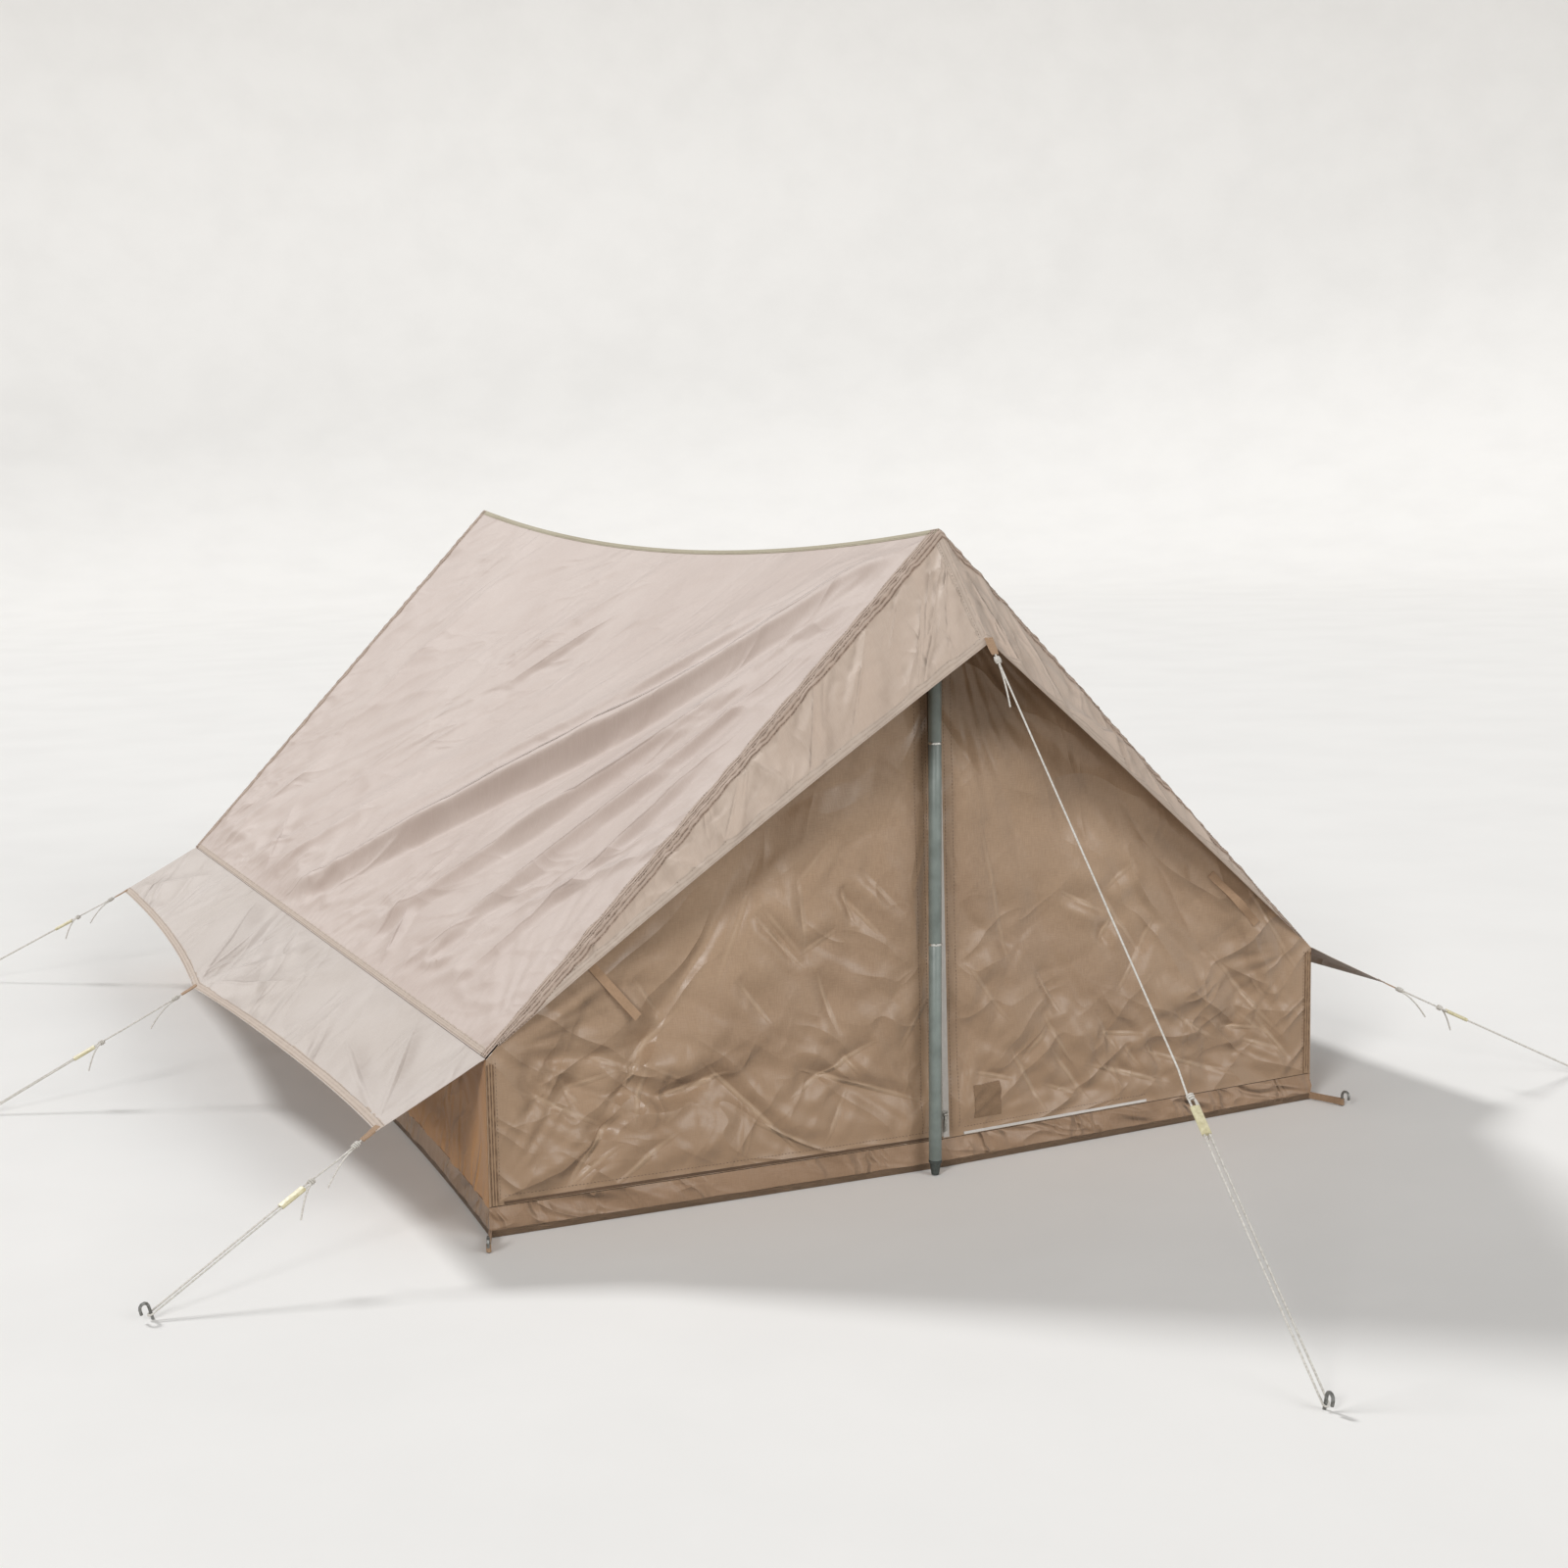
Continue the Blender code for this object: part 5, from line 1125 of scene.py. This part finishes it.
# The corner seam is the walls' cotton felled, its stitch rows drawn dark as painted shadow in the puckers;
# the right tape and sill zip are off-white woven polyester with coils of shinier nylon; the left tape and
# sill are dull dark cotton; the patch is a darker, closer cotton.
corner_cotton = seam_material("felled wall cotton", "#a88c70", "#967a60", "#6b523f", 0)
zip_white = cloth_material("white polyester zip tape", "#d9d5d1", "#c2bdb8", 0.7)
nylon = worn_material("white nylon coil", "#d6d3ce", "#b8b4ae", 0.45, 0.003)
dark_binding = cloth_material("dark brown binding", "#6a523e", "#4e3c2c", 0.85)
patch_cotton = cloth_material("darker patch cotton", "#9a7f65", "#80674f", 0.85)
for side, word in ((-1, "left"), (1, "right")):
    front, leaf = f"front_{word}", f"front_{word}_door_leaf"
    tape_x = (TAPE_EDGE, TAPE_EDGE + TAPE_WIDTH[side])
    zip_tape = wall_strip(front + "_zip_tape", side, tape_x, (SILL_HEIGHT + 0.002, ZIP_TOP_Z), (4, 160))
    teeth = zip_teeth(front + "_zip_teeth", side)
    sill = wall_strip(front + "_sill_edge", side, SILL_ZIP[side], SILL_ZIP_Z, (260, 3), 0.0013)
    rows = [wall_stitches(side, (out, DOOR_ROW_FOOT), (out, top)) for out, top in DOOR_ROWS]
    rows.append(wall_stitches(side, *[(out, SILL_ROW_Z) for out in SILL_ZIP[side]]))
    if side > 0:
        (x0, x1), (z0, z1) = PATCH
        patch = wall_strip("front_right_patch", side, *PATCH, (16, 16), 0.0010, 0.0008)
        corners = ((x0, z0), (x1, z0), (x1, z1), (x0, z1), (x0, z0))
        rows += [wall_stitches(side, a, b) for a, b in zip(corners, corners[1:])]
        dress(patch, patch_cotton, body=leaf)
    leaf_rows = join_pieces(rows, front + "_door_stitching")
    corner_seam = wall_strip(front + "_corner_seam", side, CORNER_SEAM_X, CORNER_SEAM_Z, (6, 60))
    rows = [wall_stitches(side, *[(out, z) for z in CORNER_ROW_Z]) for out in CORNER_ROWS]
    corner_rows = join_pieces(rows, front + "_corner_stitching")
    edge_finish = zip_white if side > 0 else dark_binding
    for piece, finish, slot, body in (
        (zip_tape, edge_finish, "cotton_tape", leaf),
        (teeth, nylon, "cotton_tape", leaf),
        (corner_seam, corner_cotton, "wall_cloth", "tent"),
        (sill, edge_finish, "cotton_tape", leaf),
        (leaf_rows, thread, "line_cord", leaf),
        (corner_rows, thread, "line_cord", "tent"),
    ):
        twin = turned_copy(piece)
        dress(piece, finish, body=body)
        dress(twin, finish, body=swap_names(body))


def finish_nodes(endings, material):
    """Gives the CAD nodes whose names end so their material; they keep the shape that they have."""
    for name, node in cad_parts.items():
        if name.endswith(endings):
            node.data.materials.clear()
            node.data.materials.append(material)


# The sliders and pulls are die-cast zinc, bright where hands have worn the plating.
zip_metal = worn_material("zinc zip metal", "#b9b8b2", "#8b8a84", 0.35, 0.003, 0.85)
finish_nodes(("_zip_slider", "_zip_pull"), zip_metal)

# TIE-BACKS
# A strap of webbing hangs from each side of the door to tie it back with: the left one hangs straight and the
# right one is crumpled.
TIE_HALF_WIDTH = 0.0075
TIE_THICKNESS = 0.0013
TIE_ENDS = {-1: ((0.640, 0.448), (0.544, 0.331)), 1: ((0.575, 0.455), (0.668, 0.355))}
TIE_BULGE = {-1: 0.0, 1: 0.007}
rearwards = Vector((0, 1, 0))
for side, word in ((-1, "left"), (1, "right")):
    (x0, z0), (x1, z1) = TIE_ENDS[side]
    share = np.linspace(0, 1, 25)
    x, z = x0 + (x1 - x0) * share, z0 + (z1 - z0) * share
    hang = wall_face(x, z, side, 0.0016)
    hang[:, 1] = np.minimum(hang[:, 1], -(HALF_LENGTH + 0.009)) - 0.0020 * share**2
    hang[:, 1] -= TIE_BULGE[side] * np.sin(math.pi * share) ** 2
    beside = Vector((side * (x1 - x0), 0, z1 - z0)).normalized().cross(rearwards)
    twist = 0.12 * share if side < 0 else np.sin(2 * math.pi * share) * share
    widths = [TIE_HALF_WIDTH * (beside * math.cos(t) + rearwards * math.sin(t)) for t in twist]
    strap = add_wall(ribbon(f"front_{word}_strap", hang, widths), TIE_THICKNESS)
    twin = turned_copy(strap)
    dress(strap, webbing_cloth, nodes=[f"front_{word}_tie_back"])
    dress(twin, webbing_cloth, nodes=[f"rear_{swap_names(word)}_tie_back"])

# POLES
# Each upright is three painted steel tubes. A tube's swaged neck plugs into the one above it, and a bright
# ferrule ring shows at each joint; a dark plug closes the foot, which stands in front of the sill.
POLE_RADIUS = 0.011
POLE_TOP_Y = -(RIDGE_HALF - 0.014)
POLE_FOOT = Vector((-0.030, POLE_TOP_Y - 0.020, 0.0004))
ROOF_SLANT = (RIDGE_HEIGHT - EAVE_HEIGHT) / EAVE_HALF_WIDTH
POLE_TOP_Z = float(ridge_height(POLE_TOP_Y)) - POLE_RADIUS * ROOF_SLANT - UNDER_ROOF
POLE_JOINTS = (0.398, 0.740)
ROLLED_LIP = 0.0007
ROLLED_IN = 0.0004
TOP_ROUNDED_IN = 0.0040
RING_HEIGHT = 0.0045
RING_EDGE, RING_SHOULDER, RING_BULGE = 0.0102, 0.0116, 0.0119
FOOT_HEIGHT = 0.026
FOOT_OUTLINE = (
    (0.0055, 0.0),
    (0.0066, 0.0008),
    (0.0098, FOOT_HEIGHT - 0.005),
    (0.0113, FOOT_HEIGHT - 0.004),
    (0.0113, FOOT_HEIGHT),
)
pole_run = Vector((0, POLE_TOP_Y, POLE_TOP_Z - 0.0006)) - POLE_FOOT
pole_length = pole_run.length


def spin(name, profile, sides=48):
    """A turned shape round Z from its half outline of (radius, height), closed at both ends."""
    turns = [2 * math.pi * i / sides for i in range(sides)]
    points = [(r * math.cos(t), r * math.sin(t), z) for r, z in profile for t in turns]
    faces = []
    for row in range(len(profile) - 1):
        for i in range(sides):
            here, there = row * sides + i, row * sides + (i + 1) % sides
            faces.append((here, there, there + sides, here + sides))
    faces.append(tuple(range(sides - 1, -1, -1)))
    faces.append(tuple(range((len(profile) - 1) * sides, len(profile) * sides)))
    piece = add_mesh(name, points, faces)
    bpy.ops.object.shade_smooth_by_angle(angle=math.radians(35))
    return piece


def tube(low, high, top_in=ROLLED_IN):
    """One section of the pole, with its two ends rolled in a little."""
    foot_end = [(POLE_RADIUS - ROLLED_IN, low), (POLE_RADIUS, low + ROLLED_LIP)]
    return spin("tube", foot_end + [(POLE_RADIUS, high - ROLLED_LIP), (POLE_RADIUS - top_in, high)])


def ferrule(low, high):
    """The ring at a joint, swelling out in its middle."""
    lower = [(RING_EDGE, low - 0.0002), (RING_SHOULDER, low + 0.0004), (RING_BULGE, (low + high) / 2)]
    return spin("ring", lower + [(RING_SHOULDER, high - 0.0004), (RING_EDGE, high)])


# The tubes are enamelled grey-green, rubbed duller where hands hold them; the ferrules are bright zinc plate,
# and the foot's plug is matt black rubber, greyed by earth.
paint = worn_material("grey-green stove enamel", "#858f8b", "#747d79", 0.40, 0.03)
bare_steel = worn_material("bright zinc ferrule", "#cfcfca", "#a3a39d", 0.32, 0.003, 0.9)
foot_black = worn_material("dark rubber plug", "#4a504d", "#3b3f3c", 0.75, 0.004)
ring_tops = [height + RING_HEIGHT for height in POLE_JOINTS]
tubes = [tube(FOOT_HEIGHT, POLE_JOINTS[0]), tube(ring_tops[0], POLE_JOINTS[1])]
tubes.append(tube(ring_tops[1], pole_length, TOP_ROUNDED_IN))
rings = [ferrule(low, high) for low, high in zip(POLE_JOINTS, ring_tops)]
foot = spin("front_pole_foot", FOOT_OUTLINE)
front_tubes = join_pieces(tubes, "front_pole_tubes")
front_rings = join_pieces(rings, "front_pole_ferrules")
upright = Matrix.Translation(POLE_FOOT) @ pole_run.to_track_quat("Z", "Y").to_matrix().to_4x4()
pole_nodes = ["_pole_bottom", "_pole_middle", "_pole_top"]
pole_parts = ((front_tubes, paint, pole_nodes), (front_rings, bare_steel, []), (foot, foot_black, []))
for piece, finish, nodes in pole_parts:
    piece.data.transform(upright)
    rear_twin = turned_copy(piece)
    dress(piece, finish, nodes=["front" + n for n in nodes])
    dress(rear_twin, finish, nodes=["rear" + n for n in nodes])

# GUY LINES
# Thin laid cord. Each line is tied to a webbing tab, goes down to a plastic runner, round its peg and back up
# through the runner, where a stopper knot holds its end.
LINE_RADIUS = 0.0015
LINE_LIFT_GAP = 0.0087
RUNNER_LENGTH = 0.045
KNOT_ABOVE_RUNNER = 0.012
MERGE_LENGTH = 0.05
TAB_KNOT = (0.0032, 4, 0.013)
END_KNOT = (0.0036, 3, 0.010)
TAB_LENGTH = 0.026
TAB_WIDTH = 0.014
TAB_THICKNESS = 0.0022
PEG_HOOK_Z = 0.009
hood_tip = Vector((0, -(RIDGE_HALF + HOOD_REACH), RIDGE_HEIGHT - HOOD_DROP))
GUY_RUNS = {
    "front": (hood_tip, Vector((-0.063, -2.340, PEG_HOOK_Z)), 0.400),
    "rear": (hood_tip, Vector((0, -2.245, PEG_HOOK_Z)), 0.360),
}
for place, share, out, aside, runner_up in (
    ("front", -1, 0.373, -0.110, 0.245),
    ("middle", 0, 0.400, 0.0, 0.180),
    ("rear", 1, 0.373, 0.110, 0.245),
):
    tie = Vector(flap_edge(np.array(float(share)))) - Vector((0, share * TAB_WIDTH * 0.7, 0))
    GUY_RUNS["left_" + place] = (tie, Vector((tie.x - out, tie.y + aside, PEG_HOOK_Z)), runner_up)


def line_path(tie, peg, knot_end, run, beside):
    """The cord's middle line, from its tab down round the peg and back up to the stopper knot."""
    start = tie + run * (TAB_LENGTH + 0.0004)
    merge = knot_end - run * MERGE_LENGTH
    path = [start, start + run * 0.016] + [start.lerp(merge, k / 8) for k in range(1, 8)]
    path += [merge, merge.lerp(knot_end + beside, 0.5), knot_end + beside, peg + beside]
    for k in range(1, 8):
        turn = math.pi * k / 8
        path.append(peg + run * 0.0005 + beside * math.cos(turn) + run * LINE_LIFT_GAP / 2 * math.sin(turn))
    return path + [peg - beside, knot_end + run * 0.008 - beside, knot_end - beside]


def cord_curve(name, path, radius=LINE_RADIUS):
    """A cord as a bevelled curve through its points."""
    curve = bpy.data.curves.new(name, "CURVE")
    curve.dimensions = "3D"
    curve.bevel_depth = radius
    curve.bevel_resolution = 3
    curve.use_fill_caps = True
    spline = curve.splines.new("POLY")
    spline.points.add(len(path) - 1)
    for point, place in zip(spline.points, path):
        point.co = (*place, 1)
    piece = bpy.data.objects.new(name, curve)
    bpy.context.scene.collection.objects.link(piece)
    return piece


def wrap_path(middle, run, beside, radius, turns, length):
    """The coils of a knot round the line, widest in the middle."""
    above = run.cross(beside).normalized()
    side = beside.normalized()
    path = []
    for k in range(turns * 12 + 1):
        turn = 2 * math.pi * k / 12
        share = k / (turns * 12)
        swell = radius * (0.85 + 0.3 * math.sin(math.pi * share))
        offset = side * math.cos(turn) * swell * 1.25 + above * math.sin(turn) * swell
        path.append(middle + run * length * (share - 0.5) + offset)
    return path


def loose_end(start, step, droop):
    """A cut end that hangs from its knot, drooping more and more."""
    return [start + step * k - Vector((0, 0, droop * k * k)) for k in range(6)]


# Three-strand laid cord, bleached white and greyed where it has lain in the grass.
laid_cord = worn_material("white laid cord", "#e4e1db", "#c6c2ba", 0.85, 0.0035)
for name, (tie, peg, runner_up) in GUY_RUNS.items():
    run = (peg - tie).normalized()
    beside = run.cross(Vector((0, 0, 1))).normalized() * LINE_LIFT_GAP / 2
    knot_end = peg - run * (runner_up + RUNNER_LENGTH + KNOT_ABOVE_RUNNER)
    path = line_path(tie, peg, knot_end, run, beside)
    tail_start = tie + run * (TAB_LENGTH + 0.016) + Vector((0, 0, -0.003))
    wraps = [
        wrap_path(tie + run * (TAB_LENGTH + 0.012), run, beside, *TAB_KNOT),
        wrap_path(knot_end - run * 0.004, run, beside, *END_KNOT),
        loose_end(tail_start, run * 0.011, 0.0011),
        loose_end(knot_end - beside * 1.2, run * 0.006 - beside * 0.5, 0.0014),
    ]
    tab_line = [tie - run * 0.008 + Vector((0, 0, 0.0012)), tie + run * 0.012, tie + run * TAB_LENGTH]
    across = beside.normalized() * TAB_WIDTH / 2
    tab = add_wall(ribbon("tab", tab_line, [across, across, across * 0.8]), TAB_THICKNESS)
    copies = {"front": [(name, 0.0)], "rear": [(name, math.pi)]}
    for copy_name, angle in copies.get(name, [(name, 0.0), (swap_names(name), math.pi)]):
        turn = Matrix.Rotation(angle, 3, "Z")
        line = [turn @ point for point in path]
        cord = cord_curve(copy_name + "_line_cord", line)
        knots = [cord_curve("knot", [turn @ point for point in wrap], LINE_RADIUS * 0.95) for wrap in wraps]
        knot = join_pieces(knots, copy_name + "_knots")
        tab_copy = tab.copy()
        tab_copy.data = tab.data.copy()
        tab_copy.data.transform(turn.to_4x4())
        tab_copy.name = tab_copy.data.name = copy_name + "_tab"
        bpy.context.scene.collection.objects.link(tab_copy)
        dress(cord, laid_cord, nodes=[copy_name + "_guy_line"])
        dress(knot, laid_cord)
        dress(tab_copy, webbing_cloth)
    bpy.data.objects.remove(tab)

# RUNNERS AND PEGS
# The runners are moulded from cream nylon, smooth and a little yellowed, with two eyes; the pegs are bent
# from galvanised wire, dull grey with darker rubbed spots.
runner_plastic = worn_material("cream nylon runner", "#e3dcb9", "#cbc29b", 0.45, 0.006)
peg_wire = worn_material("galvanised peg wire", "#8d8e8c", "#65645f", 0.42, 0.005, 0.8)
finish_nodes("_runner", runner_plastic)
finish_nodes("_peg", peg_wire)

# STAGE, LIGHTS AND CAMERA
# A pale floor that sweeps up all round and throws back no more light than open ground, two soft suns from the
# left, one behind the tent and one before it, a broad one from the front, and an even sky.
FLOOR_BOUNCE = "#a39e96"
FLAT_RADIUS = 15
SWEEP_RADIUS = 6
WALL_RISE = 9
SUNS = (
    ("back sun", (-0.30, 0.72, 0.62), 1.82, 10),
    ("front sun", (-0.70, -0.58, 0.42), 1.32, 14),
    ("front fill", (0.36, -0.83, 0.43), 1.10, 34),
)
SKY_COLOUR = (0.97, 0.985, 1.0, 1)
SKY_STRENGTH = 0.27


def backdrop_point(u, v):
    """A dish: flat round the tent, then a quarter round and a wall; u goes round it."""
    turn = np.clip((v - 0.5) / 0.25, 0, 1) * math.pi / 2
    radius = FLAT_RADIUS * np.clip(v / 0.5, 0, 1) + SWEEP_RADIUS * np.sin(turn)
    height = SWEEP_RADIUS * (1 - np.cos(turn)) + np.clip((v - 0.75) / 0.25, 0, 1) * WALL_RISE
    return np.stack([radius * np.cos(2 * math.pi * u), radius * np.sin(2 * math.pi * u), height - 0.0006], 1)


# Matt paint, so nearly white that only the tent's shadows show on it; other light paths meet it darker.
floor = cloth_grid("studio_floor", (96, 64), backdrop_point)
bpy.ops.object.shade_smooth()
floor_paint = worn_material("pale studio floor", "#f4f3f1", "#f1f0ee", 0.85, 0.5)
tree = floor_paint.node_tree
surface = tree.nodes["Principled BSDF"]
pale = surface.inputs["Base Color"].links[0].from_socket
rays = add_node(tree, "LightPath").outputs
seen = add_node(tree, "Math", {0: rays["Is Camera Ray"], 1: rays["Is Glossy Ray"]}, operation="MAXIMUM")
seen = add_node(tree, "Math", {0: seen, 1: rays["Is Transmission Ray"]}, operation="MAXIMUM")
shown = add_node(tree, "Mix", {0: seen, 6: srgb(FLOOR_BOUNCE), 7: pale}, data_type="RGBA")
set_inputs(surface, {"Base Color": shown.outputs[2]})
floor.data.materials.append(floor_paint)
floor.visible_shadow = False
for name, towards, energy, angle in SUNS:
    turn = Vector(towards).to_track_quat("Z", "Y").to_euler()
    bpy.ops.object.light_add(type="SUN", location=[4 * part for part in towards], rotation=turn)
    sun = bpy.context.object
    sun.name = name
    sun.data.energy = energy
    sun.data.angle = math.radians(angle)
sky = bpy.data.worlds.new("even sky")
bpy.context.scene.world = sky
sky.use_nodes = True
set_inputs(sky.node_tree.nodes["Background"], {"Color": SKY_COLOUR, "Strength": SKY_STRENGTH})
bpy.context.scene.view_settings.view_transform = "Standard"

# The camera stands where the photograph was taken from, turned, tilted and rolled as it was.
CAMERA_PLACE = (-1.8646, -4.6454, 1.2352)
CAMERA_TURN, CAMERA_TILT, CAMERA_ROLL = math.radians(-24.702), math.radians(8.138), math.radians(-1.469)
CAMERA_LENS, CAMERA_SENSOR = 53.604, 36
level = Vector((math.sin(CAMERA_TURN), -math.cos(CAMERA_TURN), 0))
backwards = level * math.cos(CAMERA_TILT) + Vector((0, 0, math.sin(CAMERA_TILT)))
rightwards = (-backwards).cross(Vector((0, 0, 1))).normalized()
upwards = rightwards.cross(-backwards)
tilted_right = rightwards * math.cos(CAMERA_ROLL) + upwards * math.sin(CAMERA_ROLL)
tilted_up = upwards * math.cos(CAMERA_ROLL) - rightwards * math.sin(CAMERA_ROLL)
turn = Matrix((tilted_right, tilted_up, backwards)).transposed().to_euler()
bpy.ops.object.camera_add(location=CAMERA_PLACE, rotation=turn)
camera = bpy.context.object
camera.data.lens = CAMERA_LENS
camera.data.sensor_width = CAMERA_SENSOR
bpy.context.scene.camera = camera
